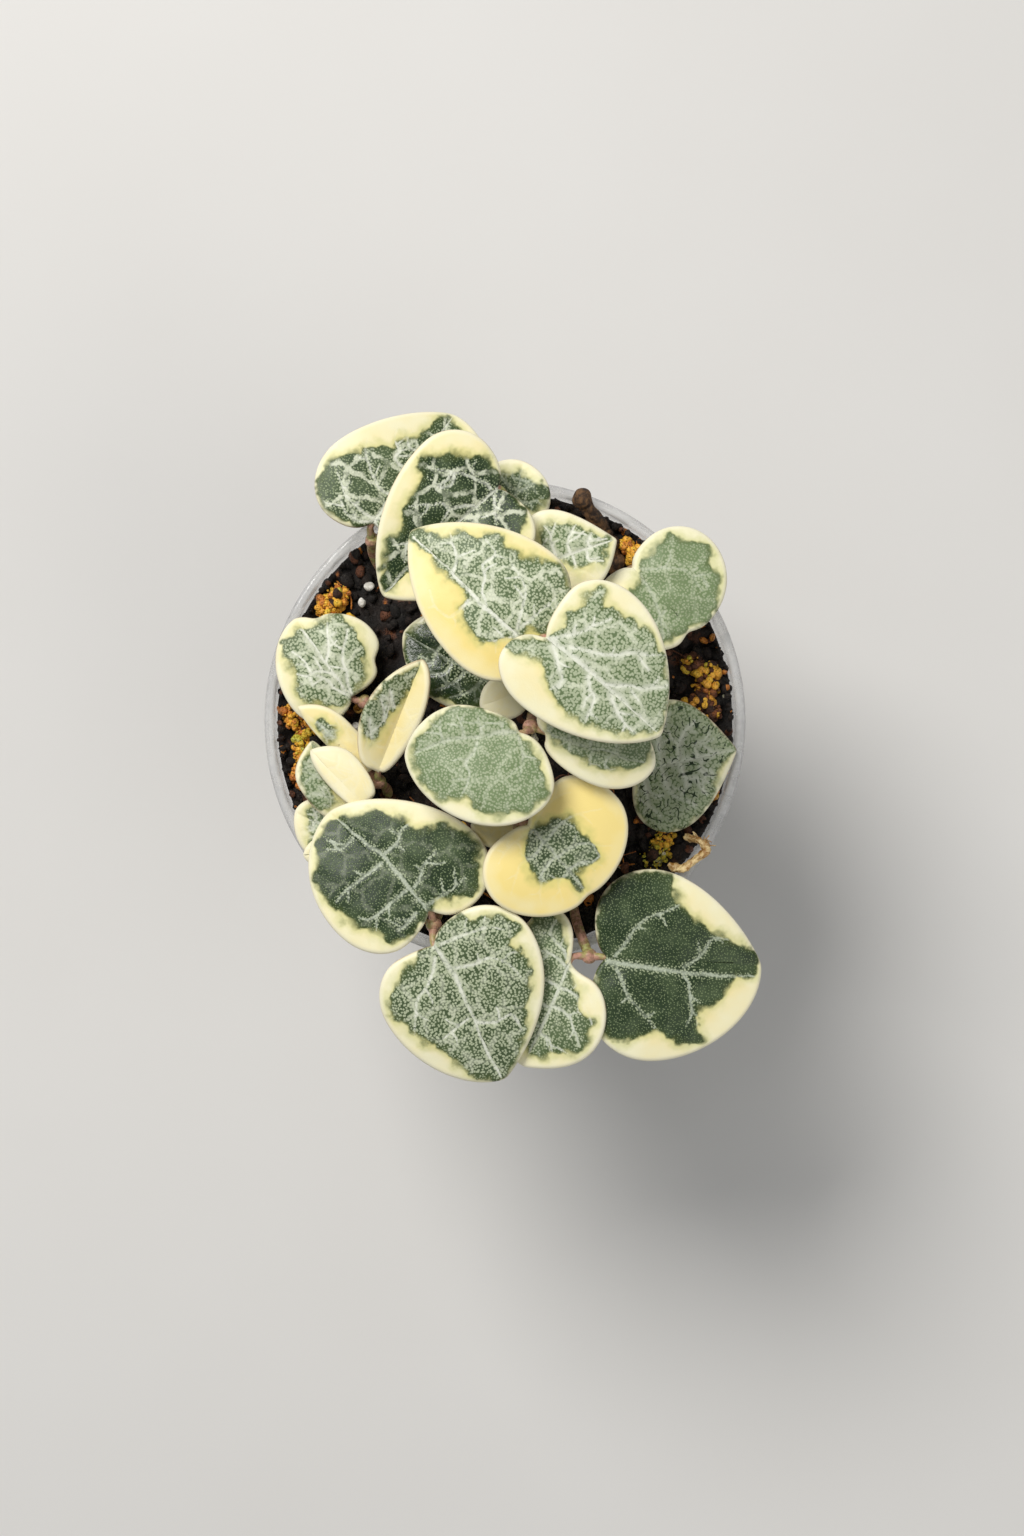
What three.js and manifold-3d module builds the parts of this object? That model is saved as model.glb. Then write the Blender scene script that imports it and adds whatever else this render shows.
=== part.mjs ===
// A variegated string of hearts in a small clear nursery pot.
// Millimetres, +Z up. The origin is the centre of the pot's base, on the surface it stands on.
import * as THREE from 'three';
import { mergeVertices } from 'three/addons/utils/BufferGeometryUtils.js';
import Module from 'manifold-3d';

const wasm = await Module();
wasm.setup();

// Pot: a tapered cup with a wider collar round its top
const potHeight = 50;
const potFloor = 1.2;
const baseRadius = 19;
const wallThickness = 0.9;
const shoulderHeight = 44;
const shoulderRadius = 25.3;
const collarRadius = 27.3;
const rimRadius = 27.5;
const rimWidth = 1.1;
const cornerSize = 0.4;
const potSides = 48;
const drainHoleCount = 6;
const drainHoleRadius = 2.2;
const drainCircleRadius = 12.5;
const drainHoleSides = 12;
const shelfHeight = shoulderHeight + wallThickness;

// Potting mix
const gap = 0.3;
const soilRimLevel = 47;
const soilCrownRise = 0.9;
const grainRelief = 0.55;
const soilRings = 7;
const soilSides = 36;

// Stems
const stemRadius = 0.6;
const petioleRadius = 0.5;
const stemSides = 6;
const stemStep = 2.6;
const fewestSteps = 3;
const buriedDepth = 6;
const jointRadius = 0.85;

// Blades
const marginThickness = 0.9;
const bladeThickness = 1.2;
const marginRing = 0.93;
const innerRing = 0.55;
const bladeMiddle = 0.42;
const largeLeafSteps = { notch: 3, lobe: 3, side: 5 };
const smallLeafSteps = { notch: 2, lobe: 2, side: 4 };
const smallLeafLength = 9.2;
const waveSpan = 4;

// Shares of a half leaf's lobe that place the control points of its outline at the notch
const notchBackShare = 0.7;
const notchAcrossShare = 0.12;
const notchEndShare = 0.5;

// Where a petiole leaves the blade and where it ends inside it: shares of the length and the thickness
const petioleMeets = { along: 0.1, lift: -0.1 };
const petioleLeaves = { along: -0.02, lift: -0.4 };

const radians = (degrees) => (degrees * Math.PI) / 180;

// Seeded draws between 0 and 1, the same on every run
function seededRandom(seed) {
  const multiplier = 1664525;
  const increment = 1013904223;
  const modulus = 4294967296;
  let state = seed;
  return () => {
    state = (state * multiplier + increment) % modulus;
    return state / modulus;
  };
}

// Solids and meshes

function solidFromArrays(positions, triangles) {
  return new wasm.Manifold(new wasm.Mesh({
    numProp: 3,
    vertProperties: new Float32Array(positions),
    triVerts: new Uint32Array(triangles),
  }));
}

function solidFromGeometry(geometry) {
  geometry.deleteAttribute('normal');
  geometry.deleteAttribute('uv');
  const merged = mergeVertices(geometry, 1e-4);
  return solidFromArrays(merged.attributes.position.array, merged.index.array);
}

function joined(solids) {
  return solids.reduce((whole, solid) => whole.add(solid));
}

// A mesh whose own origin is at the given place
function meshFromSolid(name, solid, material, place) {
  const result = solid.getMesh();
  const geometry = new THREE.BufferGeometry();
  geometry.setAttribute('position', new THREE.BufferAttribute(new Float32Array(result.vertProperties), 3));
  geometry.setIndex(new THREE.BufferAttribute(new Uint32Array(result.triVerts), 1));
  geometry.translate(-place[0], -place[1], -place[2]);
  geometry.computeVertexNormals();
  const mesh = new THREE.Mesh(geometry, material);
  mesh.name = name;
  mesh.position.set(...place);
  return mesh;
}

function tubeSolid(points, radius) {
  const curve = new THREE.CatmullRomCurve3(points.map((point) => new THREE.Vector3(...point)));
  const section = new THREE.Shape();
  for (let side = 0; side < stemSides; side += 1) {
    const angle = (side / stemSides) * 2 * Math.PI;
    const corner = [radius * Math.cos(angle), radius * Math.sin(angle)];
    if (side === 0) section.moveTo(...corner);
    else section.lineTo(...corner);
  }
  const steps = Math.max(fewestSteps, Math.round(curve.getLength() / stemStep));
  return solidFromGeometry(new THREE.ExtrudeGeometry(section, { steps, extrudePath: curve }));
}

function lumpSolid(centre, radius, stretch, draw) {
  const geometry = new THREE.IcosahedronGeometry(radius, 0);
  geometry.scale(...stretch);
  geometry.rotateZ(draw() * 2 * Math.PI);
  geometry.rotateX(draw());
  geometry.translate(...centre);
  return solidFromGeometry(geometry);
}

function uprightCylinderSolid(centre, radius, height, sides) {
  const geometry = new THREE.CylinderGeometry(radius, radius, height, sides);
  geometry.rotateX(Math.PI / 2);
  geometry.translate(...centre);
  return solidFromGeometry(geometry);
}

// Pot

function potSolid() {
  const insideRadius = rimRadius - rimWidth;
  const profile = [
    [0, 0],
    [baseRadius - cornerSize, 0],
    [baseRadius, cornerSize],
    [shoulderRadius, shoulderHeight],
    [collarRadius, shelfHeight],
    [rimRadius, potHeight - cornerSize],
    [rimRadius - cornerSize, potHeight],
    [insideRadius + cornerSize, potHeight],
    [insideRadius, potHeight - cornerSize],
    [collarRadius - rimWidth, shelfHeight + wallThickness],
    [shoulderRadius - wallThickness, shelfHeight],
    [baseRadius - wallThickness, potFloor],
    [0, potFloor],
  ].map(([radius, height]) => new THREE.Vector2(radius, height));
  const cup = new THREE.LatheGeometry(profile, potSides);
  cup.rotateX(Math.PI / 2);
  let solid = solidFromGeometry(cup);
  for (let hole = 0; hole < drainHoleCount; hole += 1) {
    const angle = (hole / drainHoleCount) * 2 * Math.PI;
    const centre = [drainCircleRadius * Math.cos(angle), drainCircleRadius * Math.sin(angle), 0];
    solid = solid.subtract(uprightCylinderSolid(centre, drainHoleRadius, 4 * potFloor, drainHoleSides));
  }
  return solid;
}

// Radius of the pot's inside at a height
function insideRadiusAt(height) {
  const foot = baseRadius - wallThickness;
  const neck = shoulderRadius - wallThickness;
  if (height > shelfHeight) return collarRadius - rimWidth;
  return foot + ((neck - foot) * (height - potFloor)) / (shelfHeight - potFloor);
}

// Potting mix: a plug inside the pot, with a crumbly top

function soilLevel(radius) {
  return soilRimLevel + soilCrownRise * (1 - (radius / rimRadius) ** 2);
}

function soilSolid() {
  const draw = seededRandom(7);
  const bottom = potFloor + gap;
  const topRadius = insideRadiusAt(potHeight) - gap;
  const sideRows = [
    [insideRadiusAt(potFloor) - gap, bottom],
    [insideRadiusAt(shelfHeight) - gap, shelfHeight],
    [topRadius, shelfHeight + 2 * wallThickness],
  ];
  const positions = [0, 0, bottom];
  const addRing = (radius, height) => {
    for (let side = 0; side < soilSides; side += 1) {
      const angle = (side / soilSides) * 2 * Math.PI;
      positions.push(radius * Math.cos(angle), radius * Math.sin(angle), height());
    }
  };
  sideRows.forEach(([radius, height]) => addRing(radius, () => height));
  for (let ring = 0; ring < soilRings; ring += 1) {
    const radius = topRadius * (1 - ring / soilRings);
    addRing(radius, () => soilLevel(radius) + (2 * draw() - 1) * grainRelief);
  }
  positions.push(0, 0, soilLevel(0));
  const ringCount = sideRows.length + soilRings;
  const last = 1 + ringCount * soilSides;
  const triangles = [];
  const at = (ring, side) => 1 + ring * soilSides + (side % soilSides);
  for (let side = 0; side < soilSides; side += 1) {
    triangles.push(0, at(0, side + 1), at(0, side));
    triangles.push(last, at(ringCount - 1, side), at(ringCount - 1, side + 1));
    for (let ring = 0; ring < ringCount - 1; ring += 1) {
      triangles.push(at(ring, side), at(ring, side + 1), at(ring + 1, side + 1));
      triangles.push(at(ring, side), at(ring + 1, side + 1), at(ring + 1, side));
    }
  }
  return solidFromArrays(positions, triangles);
}

// Blades: a flat heart outline, thickened, then folded, curled and arched, and last set on its petiole

// Point of a cubic curve with end points a and d
function cubic(a, b, c, d, t) {
  const s = 1 - t;
  return a.map((_, i) => s * s * s * a[i] + 3 * s * s * t * b[i] + 3 * s * t * t * c[i] + t * t * t * d[i]);
}

// One half of the outline from notch to tip, as [along, across] with across at 0 or more
function halfOutline(leaf, side) {
  const { wide, at, back, full, round } = side;
  const steps = leaf.length > smallLeafLength ? largeLeafSteps : smallLeafSteps;
  const lobeAcross = side.lobe * wide;
  const run = leaf.length - at;
  const tip = radians(side.tip);
  const notch = [0, 0];
  const lobe = [-back, lobeAcross];
  const flank = [at, wide];
  const end = [leaf.length, 0];
  const notchOut = [-notchBackShare * back, notchAcrossShare * lobeAcross];
  const lobeIn = [-back, notchEndShare * lobeAcross];
  const lobeOut = [-back, lobeAcross + round * (wide - lobeAcross)];
  const flankIn = [at - round * (at + back), wide];
  const flankOut = [at + full * run, wide];
  const tipIn = [leaf.length - full * wide * Math.cos(tip), full * wide * Math.sin(tip)];
  const curves = [
    [steps.notch, notch, notchOut, lobeIn, lobe],
    [steps.lobe, lobe, lobeOut, flankIn, flank],
    [steps.side, flank, flankOut, tipIn, end],
  ];
  return curves.flatMap(([count, ...controls]) =>
    Array.from({ length: count }, (_, step) => cubic(...controls, step / count)));
}

function leafOutline(leaf) {
  const left = halfOutline(leaf, leaf.left);
  const right = halfOutline(leaf, leaf.right).slice(1).reverse();
  return [...left, [leaf.length, 0], ...right.map(([along, across]) => [along, -across])];
}

// A strip that leaves the origin at a slope and turns steadily: how far it has run and risen
function bow(start, turn, distance) {
  if (Math.abs(turn) < 1e-6) return [distance * Math.cos(start), distance * Math.sin(start)];
  const end = start + turn * distance;
  return [(Math.sin(end) - Math.sin(start)) / turn, (Math.cos(start) - Math.cos(end)) / turn];
}

// A point of the bent blade, in the leaf's own frame: x along the midrib, y to the left, z up
function bladePoint(leaf, along, across, lift) {
  const hand = Math.sign(across);
  const { wide, fold, curl } = across >= 0 ? leaf.left : leaf.right;
  const reach = Math.abs(across);
  const slope = radians(fold);
  const turn = radians(curl) / wide;
  const [out, rise] = bow(slope, turn, reach);
  const tilt = hand === 0 ? 0 : slope + turn * reach;
  const y = hand * (out - lift * Math.sin(tilt));
  const phase = leaf.heading;
  const wave = leaf.ripple * (reach / wide) ** 2 * Math.sin((waveSpan * along) / leaf.length + phase);
  const height = rise + wave + lift * Math.cos(tilt);
  const archTurn = radians(leaf.arch) / leaf.length;
  const archStart = archTurn * bladeMiddle * leaf.length;
  const [ahead, up] = bow(archStart, -archTurn, along);
  const lean = archStart - archTurn * along;
  return new THREE.Vector3(ahead - height * Math.sin(lean), y, up + height * Math.cos(lean));
}

function leafMatrix(leaf) {
  const turn = new THREE.Euler(radians(leaf.roll), -radians(leaf.pitch), radians(leaf.heading), 'ZYX');
  return new THREE.Matrix4().makeRotationFromEuler(turn).setPosition(...leaf.at);
}

// Rings of points from the outline to the middle, alike on the upper and the lower face
function bladeSolid(leaf) {
  const outline = leafOutline(leaf);
  const count = outline.length;
  const centre = [bladeMiddle * leaf.length, 0];
  const matrix = leafMatrix(leaf);
  const positions = [];
  const triangles = [];
  const addPoint = (scale, [along, across], lift) => {
    const point = bladePoint(leaf, centre[0] + scale * (along - centre[0]), scale * across, lift);
    positions.push(...point.applyMatrix4(matrix).toArray());
  };
  outline.forEach((point) => addPoint(1, point, 0));
  const faces = [1, -1];
  faces.forEach((face) => {
    outline.forEach((point) => addPoint(marginRing, point, (face * marginThickness) / 2));
    outline.forEach((point) => addPoint(innerRing, point, (face * bladeThickness) / 2));
    addPoint(0, centre, (face * bladeThickness) / 2);
  });
  const perFace = 2 * count + 1;
  faces.forEach((face, index) => {
    const margin = count + index * perFace;
    const inner = margin + count;
    const middle = inner + count;
    const addTriangle = (a, b, c) => triangles.push(...(face > 0 ? [a, b, c] : [a, c, b]));
    for (let i = 0; i < count; i += 1) {
      const next = (i + 1) % count;
      addTriangle(next, i, margin + i);
      addTriangle(next, margin + i, margin + next);
      addTriangle(margin + next, margin + i, inner + i);
      addTriangle(margin + next, inner + i, inner + next);
      addTriangle(inner + next, inner + i, middle);
    }
  });
  return solidFromArrays(positions, triangles);
}

// Leaf table. at: where the petiole meets the blade. heading: the way the midrib points, from +X.
// pitch lifts the tip and roll lifts the left half. arch droops the blade's two ends. ripple: a slow
// wave of the margin. left and right: the half's greatest width, how far along the midrib that is, and
// how far its lobe reaches back.

// fold: the half's slope at the midrib. curl: its turn towards the margin. tip: its angle at the tip.
// full and round: how far its flank stays wide towards the tip and the lobe. lobe: the share of the
// width at which the lobe reaches furthest back.
function half(wide, at, back, extra = {}) {
  const plain = { fold: 8, curl: -16, tip: 70, full: 0.55, lobe: 0.46, round: 0.55 };
  return { wide, at, back, ...plain, ...extra };
}

function leaf(at, heading, length, left, right, extra = {}) {
  const plain = { pitch: 0, roll: 0, arch: 18, ripple: 0.25 };
  return { at, heading, length, left, right, ...plain, ...extra };
}

const leaves = {
  backLeft: leaf([-14.9, 22.2, 56], 54, 16.4,
    half(9, 3.4, 2.4, { tip: 66, full: 0.36 }), half(8.6, 8, 0.2, { tip: 95 }), { pitch: -16 }),
  backOver: leaf([-0.9, 25.6, 60], -137, 17.5,
    half(7.6, 2.5, 0.9, { fold: 16, tip: 62, full: 0.5 }),
    half(9.4, 2.4, 2.5, { fold: 16, tip: 68, full: 0.47, lobe: 0.48 })),
  backLow: leaf([1, 23.4, 55], 80, 6, half(4.6, 2.2, 1.2, { tip: 95 }), half(3.9, 1.6, 1.2, { tip: 75 })),
  crownLeft: leaf([1.6, 9.1, 66], 136, 16.95,
    half(6.9, 3.2, 2.8, { tip: 55, full: 0.5 }),
    half(9.15, 2.8, 2.4, { tip: 65, full: 0.45, lobe: 0.32 }), { pitch: -5 }),
  crownRight: leaf([4.6, 8.7, 68], -40, 16.7,
    half(9.85, 4, 1.5, { tip: 65, full: 0.47, lobe: 0.57 }),
    half(7.4, 2.4, 3, { tip: 62, full: 0.5, lobe: 0.5 }), { pitch: -7 }),
  crownInner: leaf([4, 8.8, 61.6], 40, 5.4, half(2.6, 1.8, 0.6), half(2.4, 1.8, 0.6)),
  farRight: leaf([14.4, 17.1, 55], -47, 10.1,
    half(8.9, 3.7, 1.35, { tip: 100, full: 0.6, lobe: 0.4 }),
    half(6.6, 4, 1.2, { tip: 95 }), { roll: -8 }),
  underCrown: leaf([3.9, 17.1, 57], 20, 9.3,
    half(5.95, 2.2, 1, { tip: 50, full: 0.4 }), half(4.3, 4.6, 1, { tip: 62, full: 0.45 }), { pitch: 5 }),
  darkGloss: leaf([-1.8, 4.5, 51.6], 150, 11.4,
    half(5, 4, 1.2, { full: 0.5 }), half(5.8, 4, 1.2, { tip: 80 }), { pitch: -4 }),
  tornCream: leaf([1.6, 3.2, 54], -160, 4.8, half(2.6, 1.6, 0.6), half(2.6, 1.6, 0.6)),
  leftRound: leaf([-17.5, 2.7, 51], 125, 11.1,
    half(6.3, 3, 1.2, { tip: 88 }), half(6.4, 4.4, 0.1, { tip: 64, lobe: 0.3 }), { roll: 4 }),
  leftFolded: leaf([-14.4, -5.9, 53.2], 68, 14.1,
    half(4.4, 6.2, -0.2, { fold: 26, curl: -8, tip: 60, full: 0.5, lobe: 0.3, round: 0.45 }),
    half(2.7, 7.8, -0.3, { fold: 26, curl: -8, tip: 80, lobe: 0.2, round: 0.4 }), { pitch: 12, arch: 8 }),
  leftCream: leaf([-15.4, -5.8, 52.4], 137, 11,
    half(1.2, 5, 0, { fold: -30, curl: 0, tip: 60 }), half(2.6, 6, 0.1, { tip: 60 }), { pitch: 5 }),
  leftBud: leaf([-17.8, -9.6, 52.8], 120, 8.5,
    half(3.9, 4.4, 0.6, { fold: 24, curl: -10, tip: 65 }),
    half(2, 3.4, 0.1, { fold: 66, curl: 0, tip: 60 })),
  leftBudPair: leaf([-15.9, -9.5, 54.3], 134, 8.7,
    half(1.4, 4, 0.1), half(3.1, 4.8, 0.1, { tip: 65, full: 0.5 })),
  edgeTip: leaf([-17.8, -14.4, 52.8], 190, 5.2, half(1.8, 2.6, 0.3), half(1.8, 2.6, 0.3)),
  edgeLeft: leaf([-17.5, -13.6, 51], 153, 7.3, half(3.9, 2.2, 0.8), half(3.2, 3.4, 0.8, { tip: 90 })),
  frontLeft: leaf([-8.6, -21.2, 57], 136, 15.9,
    half(9.1, 5, 1.1, { tip: 85 }), half(9.9, 2.2, 3.3, { tip: 75, full: 0.45 }), { pitch: -6 }),
  middle: leaf([1.9, -1.5, 63.5], -169, 13.4,
    half(9.75, 3.2, 2.5, { tip: 90, full: 0.5, lobe: 0.58 }),
    half(4.5, 6.8, -0.4, { full: 0.5, lobe: 0.2, round: 0.3 }), { pitch: -5 }),
  middleRight: leaf([4.2, -1.3, 62], -17, 13.1,
    half(5, 5, 1.2, { tip: 78 }), half(4.1, 7.6, -0.6, { tip: 85, lobe: 0.3, round: 0.4 }), { roll: 8 }),
  soilRight: leaf([15.4, -5.8, 49.3], 13, 11.5,
    half(7.4, 4.4, 1.6, { tip: 62, full: 0.5 }),
    half(7.6, 2.6, 1.5, { tip: 55, full: 0.42, lobe: 0.5 }), { pitch: 8, arch: 8 }),
  frontCream: leaf([2.6, -11.8, 59], -49, 10.6,
    half(9.65, 4.2, 1.7, { tip: 95, lobe: 0.58 }),
    half(8.4, 3.6, 1, { tip: 95, full: 0.5 }), { pitch: -5 }),
  sliver: leaf([1, -12.6, 55], 170, 5, half(2.2, 2, 0.6), half(2.2, 2, 0.6)),
  frontRight: leaf([11.6, -26.7, 55], -3, 18,
    half(10.25, 4.6, 1.7, { tip: 60, full: 0.42 }),
    half(11.55, 5, 1.8, { tip: 93, full: 0.5 }), { pitch: -10 }),
  frontUnder: leaf([7.4, -26.9, 55.4], -114, 13.7,
    half(6.95, 6.5, -1, { lobe: 0.4, round: 0.5 }),
    half(7, 5, 4.6, { lobe: 0.62 }), { pitch: -9, roll: 8 }),
  frontMiddle: leaf([-7.9, -25.3, 57], -62, 17.6,
    half(10.6, 3.6, 2.1, { tip: 60, full: 0.5 }),
    half(8.85, 5, 0.5, { tip: 80, full: 0.5 }), { pitch: -10, roll: 5 }),
};

// Leafy stems: three points of the stem from the mix up to its joint, and the leaves that grow there

const shoot = (foot, bend, joint, ...names) => ({ route: [foot, bend, joint], leaves: names });

const shoots = {
  stem_back_left: shoot([-14.1, 17.1, 47], [-15, 18.9, 51], [-15, 20.4, 54], 'backLeft'),
  stem_back: shoot([1, 21, 47], [0.6, 22.5, 53], [0.2, 24.6, 58], 'backOver', 'backLow'),
  stem_crown: shoot([3.2, 5, 47], [3.6, 6.4, 57], [3.1, 8.2, 64.5], 'crownLeft', 'crownRight', 'crownInner'),
  stem_far_right: shoot([9.4, 13, 47], [10.6, 14, 51.5], [12.6, 15.8, 54], 'farRight'),
  stem_under_crown: shoot([1, 13.5, 47], [1.4, 14.8, 52], [2.4, 16.2, 55.6], 'underCrown'),
  stem_dark: shoot([0.8, 1.5, 47], [0.6, 2.8, 49.4], [0.2, 3.8, 51], 'darkGloss', 'tornCream'),
  stem_left: shoot([-13.4, 1.6, 47], [-14.2, 1.8, 49.2], [-16, 2.2, 50.2], 'leftRound'),
  stem_left_pair: shoot([-13.4, -8.4, 47], [-13.6, -7.6, 49.6], [-14.4, -6.9, 51.4],
    'leftFolded', 'leftCream'),
  stem_left_bud: shoot([-14.6, -11.8, 47], [-15.2, -11.2, 49.4], [-16.2, -10.4, 51.8],
    'leftBud', 'leftBudPair'),
  stem_edge: shoot([-14, -15, 47], [-14.8, -14.6, 49], [-16.2, -13.8, 50.4], 'edgeLeft', 'edgeTip'),
  stem_front_left: shoot([-6.4, -18.8, 47], [-7, -20.6, 52], [-8, -23, 55.4], 'frontLeft', 'frontMiddle'),
  stem_middle: shoot([3.2, 1, 47], [3, 0.4, 55], [2.9, -0.8, 61.4], 'middle', 'middleRight'),
  stem_right: shoot([11.6, -4.6, 46.6], [12.4, -4.8, 48.4], [14, -5.4, 48.8], 'soilRight'),
  stem_front_cream: shoot([0.8, -8.6, 47], [0.8, -10, 53], [1.6, -11.4, 57], 'frontCream', 'sliver'),
  stem_front: shoot([7.6, -20, 47], [8.2, -23, 51.6], [9.5, -26.6, 54.2], 'frontRight', 'frontUnder'),
};

function petioleSolid(joint, blade) {
  const matrix = leafMatrix(blade);
  const inBlade = ({ along, lift }) =>
    bladePoint(blade, along * blade.length, 0, lift * bladeThickness).applyMatrix4(matrix).toArray();
  return tubeSolid([joint, inBlade(petioleLeaves), inBlade(petioleMeets)], petioleRadius);
}

// The stem's route with its buried foot, which can be lengthened for the hole that it stands in
function stemPoints({ route }, extra) {
  const [x, y, z] = route[0];
  return [[x, y, z - buriedDepth - extra], ...route];
}

function shootSolid(stem) {
  const joint = stem.route[stem.route.length - 1];
  const knuckle = new THREE.IcosahedronGeometry(jointRadius, 0);
  knuckle.translate(...joint);
  const parts = [tubeSolid(stemPoints(stem, 0), stemRadius), solidFromGeometry(knuckle)];
  stem.leaves.forEach((name) => {
    parts.push(bladeSolid(leaves[name]));
    parts.push(petioleSolid(joint, leaves[name]));
  });
  return joined(parts);
}

// Loose things on the mix. Each is built by a function of a growth, which cuts its pocket in the mix

// Crusts: lumps fused along an arc near the rim, sunk into the mix by half
const crusts = {
  crust_left: {
    radius: 24.4, from: 170, to: 195, count: 7, size: 1.5, height: 47.4,
    seed: 3, color: 0x8a4a1c,
  },
  crust_upper_left: {
    radius: 24.4, from: 143, to: 150, count: 4, size: 1.4, height: 48,
    seed: 5, color: 0xb07a1e,
  },
  crust_upper_right: {
    radius: 24.9, from: 49, to: 55, count: 3, size: 1, height: 47.8,
    seed: 8, color: 0xa9772a,
  },
  crust_right: {
    radius: 24, from: 3, to: 17, count: 5, size: 1.6, height: 47.6,
    seed: 12, color: 0x5a3a1a,
  },
  crust_right_rim: {
    radius: 25, from: -20, to: -16, count: 3, size: 1, height: 48.2,
    seed: 21, color: 0xb8802c,
  },
  moss_lower_right: {
    radius: 23.4, from: -42, to: -35, count: 4, size: 1.5, height: 47.3,
    seed: 30, color: 0x8a8a2e,
  },
};
const crustSpread = 1.2;
const crustSizes = { least: 0.85, spread: 0.35 };
const crustUnevenness = 0.5;
const crustStretch = [1, 1, 0.8];

function crustSolid(crust, grow) {
  const draw = seededRandom(crust.seed);
  const lumps = [];
  for (let lump = 0; lump < crust.count; lump += 1) {
    const share = lump / (crust.count - 1);
    const angle = radians(crust.from + (crust.to - crust.from) * share);
    const radius = crust.radius - crustSpread * draw() * crust.size;
    const size = crust.size * (crustSizes.least + crustSizes.spread * draw());
    const height = crust.height + crustUnevenness * draw();
    const centre = [radius * Math.cos(angle), radius * Math.sin(angle), height];
    lumps.push(lumpSolid(centre, size + grow, crustStretch, draw));
  }
  return joined(lumps);
}

// Bark: a bent chip with a knob that stands over the rim
const barkRoute = [
  [8.8, 25.3, 51.9],
  [9.6, 23.9, 51.3],
  [11, 22.3, 49.6],
  [12, 20.2, 48.4],
  [12.6, 18.2, 47.8],
];
const barkRadius = 0.9;
const barkLumps = [
  { at: 0, radius: 1.4, stretch: [1, 1, 0.9] },
  { at: 3, radius: 1.2, stretch: [1, 1, 0.8] },
  { at: 4, radius: 1.2, stretch: [1, 1, 0.9] },
];

function barkSolid(grow) {
  const draw = seededRandom(17);
  const lumps = barkLumps.map(({ at, radius, stretch }) =>
    lumpSolid(barkRoute[at], radius + grow, stretch, draw));
  return joined([tubeSolid(barkRoute, barkRadius + grow), ...lumps]);
}

// Root strip: it lies over the rim and hooks back to the mix
const rootStripRoute = [
  [19, -16.5, 49.9],
  [20.1, -16.9, 50.8],
  [21.7, -15.8, 50.9],
  [23, -14.8, 50.9],
  [22.3, -13.7, 50.8],
  [20.9, -13.3, 49],
];
const rootStripRadius = 0.55;

function rootStripSolid(grow) {
  return tubeSolid(rootStripRoute, rootStripRadius + grow);
}

// Fertiliser shell: an empty coat with an open mouth
const shellCentre = [-16.8, 1.5, 48.4];
const shellRadius = 0.6;
const shellHeight = 0.8;
const shellMouthRadius = 0.3;
const shellSides = 10;

function shellSolid(grow) {
  const outside = uprightCylinderSolid(shellCentre, shellRadius + grow, shellHeight + 2 * grow, shellSides);
  if (grow > 0) return outside;
  const mouth = [shellCentre[0], shellCentre[1], shellCentre[2] + shellHeight / 2];
  return outside.subtract(uprightCylinderSolid(mouth, shellMouthRadius, shellHeight, shellSides));
}

// Perlite: three white grains
const perlite = {
  perlite_1: [-15.6, 15.4, 48.4],
  perlite_2: [-16.4, 13.6, 48.4],
  perlite_3: [-17, -0.6, 48.4],
};
const perliteSize = 0.6;
const perliteStretch = [1.2, 0.9, 0.8];

function perliteSolid(centre, grow) {
  return lumpSolid(centre, perliteSize + grow, perliteStretch, seededRandom(40));
}

// Materials

function finish(color, roughness, extra = {}) {
  return new THREE.MeshStandardMaterial({ color, roughness, metalness: 0, ...extra });
}

const clearPlastic = () => finish(0xc9cdd0, 0.25, { transparent: true, opacity: 0.4 });
const pottingMix = () => finish(0x241b14, 0.95);
const foliage = () => finish(0x7f9468, 0.5);
const crustCrumb = (color) => finish(color, 0.9);
const darkBark = () => finish(0x3a2414, 0.85);
const dryRoot = () => finish(0x9a6a2c, 0.6);
const fertiliserCoat = () => finish(0xc98a2e, 0.5);
const whiteGrain = () => finish(0xd8d4cc, 0.95);

const looseThings = [
  ...Object.entries(crusts).map(([name, crust]) => ({
    name,
    material: crustCrumb(crust.color),
    build: (grow) => crustSolid(crust, grow),
  })),
  { name: 'bark', material: darkBark(), build: barkSolid },
  { name: 'root_strip', material: dryRoot(), build: rootStripSolid },
  { name: 'fertiliser_shell', material: fertiliserCoat(), build: shellSolid },
  ...Object.entries(perlite).map(([name, centre]) => ({
    name,
    material: whiteGrain(),
    build: (grow) => perliteSolid(centre, grow),
  })),
];

function soilWithHoles() {
  const stemHoles = Object.values(shoots).map((stem) => tubeSolid(stemPoints(stem, gap), stemRadius + gap));
  const pockets = looseThings.map(({ build }) => build(gap));
  return [...stemHoles, ...pockets].reduce((solid, cutter) => solid.subtract(cutter), soilSolid());
}

// Assembly

const base = [0, 0, 0];

function filledPot() {
  const group = new THREE.Group();
  group.add(meshFromSolid('pot', potSolid(), clearPlastic(), base));
  group.add(meshFromSolid('soil', soilWithHoles(), pottingMix(), base));
  return group;
}

function plant() {
  const group = new THREE.Group();
  Object.entries(shoots).forEach(([name, stem]) => {
    group.add(meshFromSolid(name, shootSolid(stem), foliage(), stem.route[0]));
  });
  return group;
}

function topDressing() {
  const group = new THREE.Group();
  looseThings.forEach(({ name, material, build }) => {
    group.add(meshFromSolid(name, build(0), material, base));
  });
  return group;
}

const part = new THREE.Group();
part.add(filledPot(), plant(), topDressing());

export default part;
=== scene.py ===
import math

import bpy
import numpy as np
from mathutils import Matrix, Vector


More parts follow.
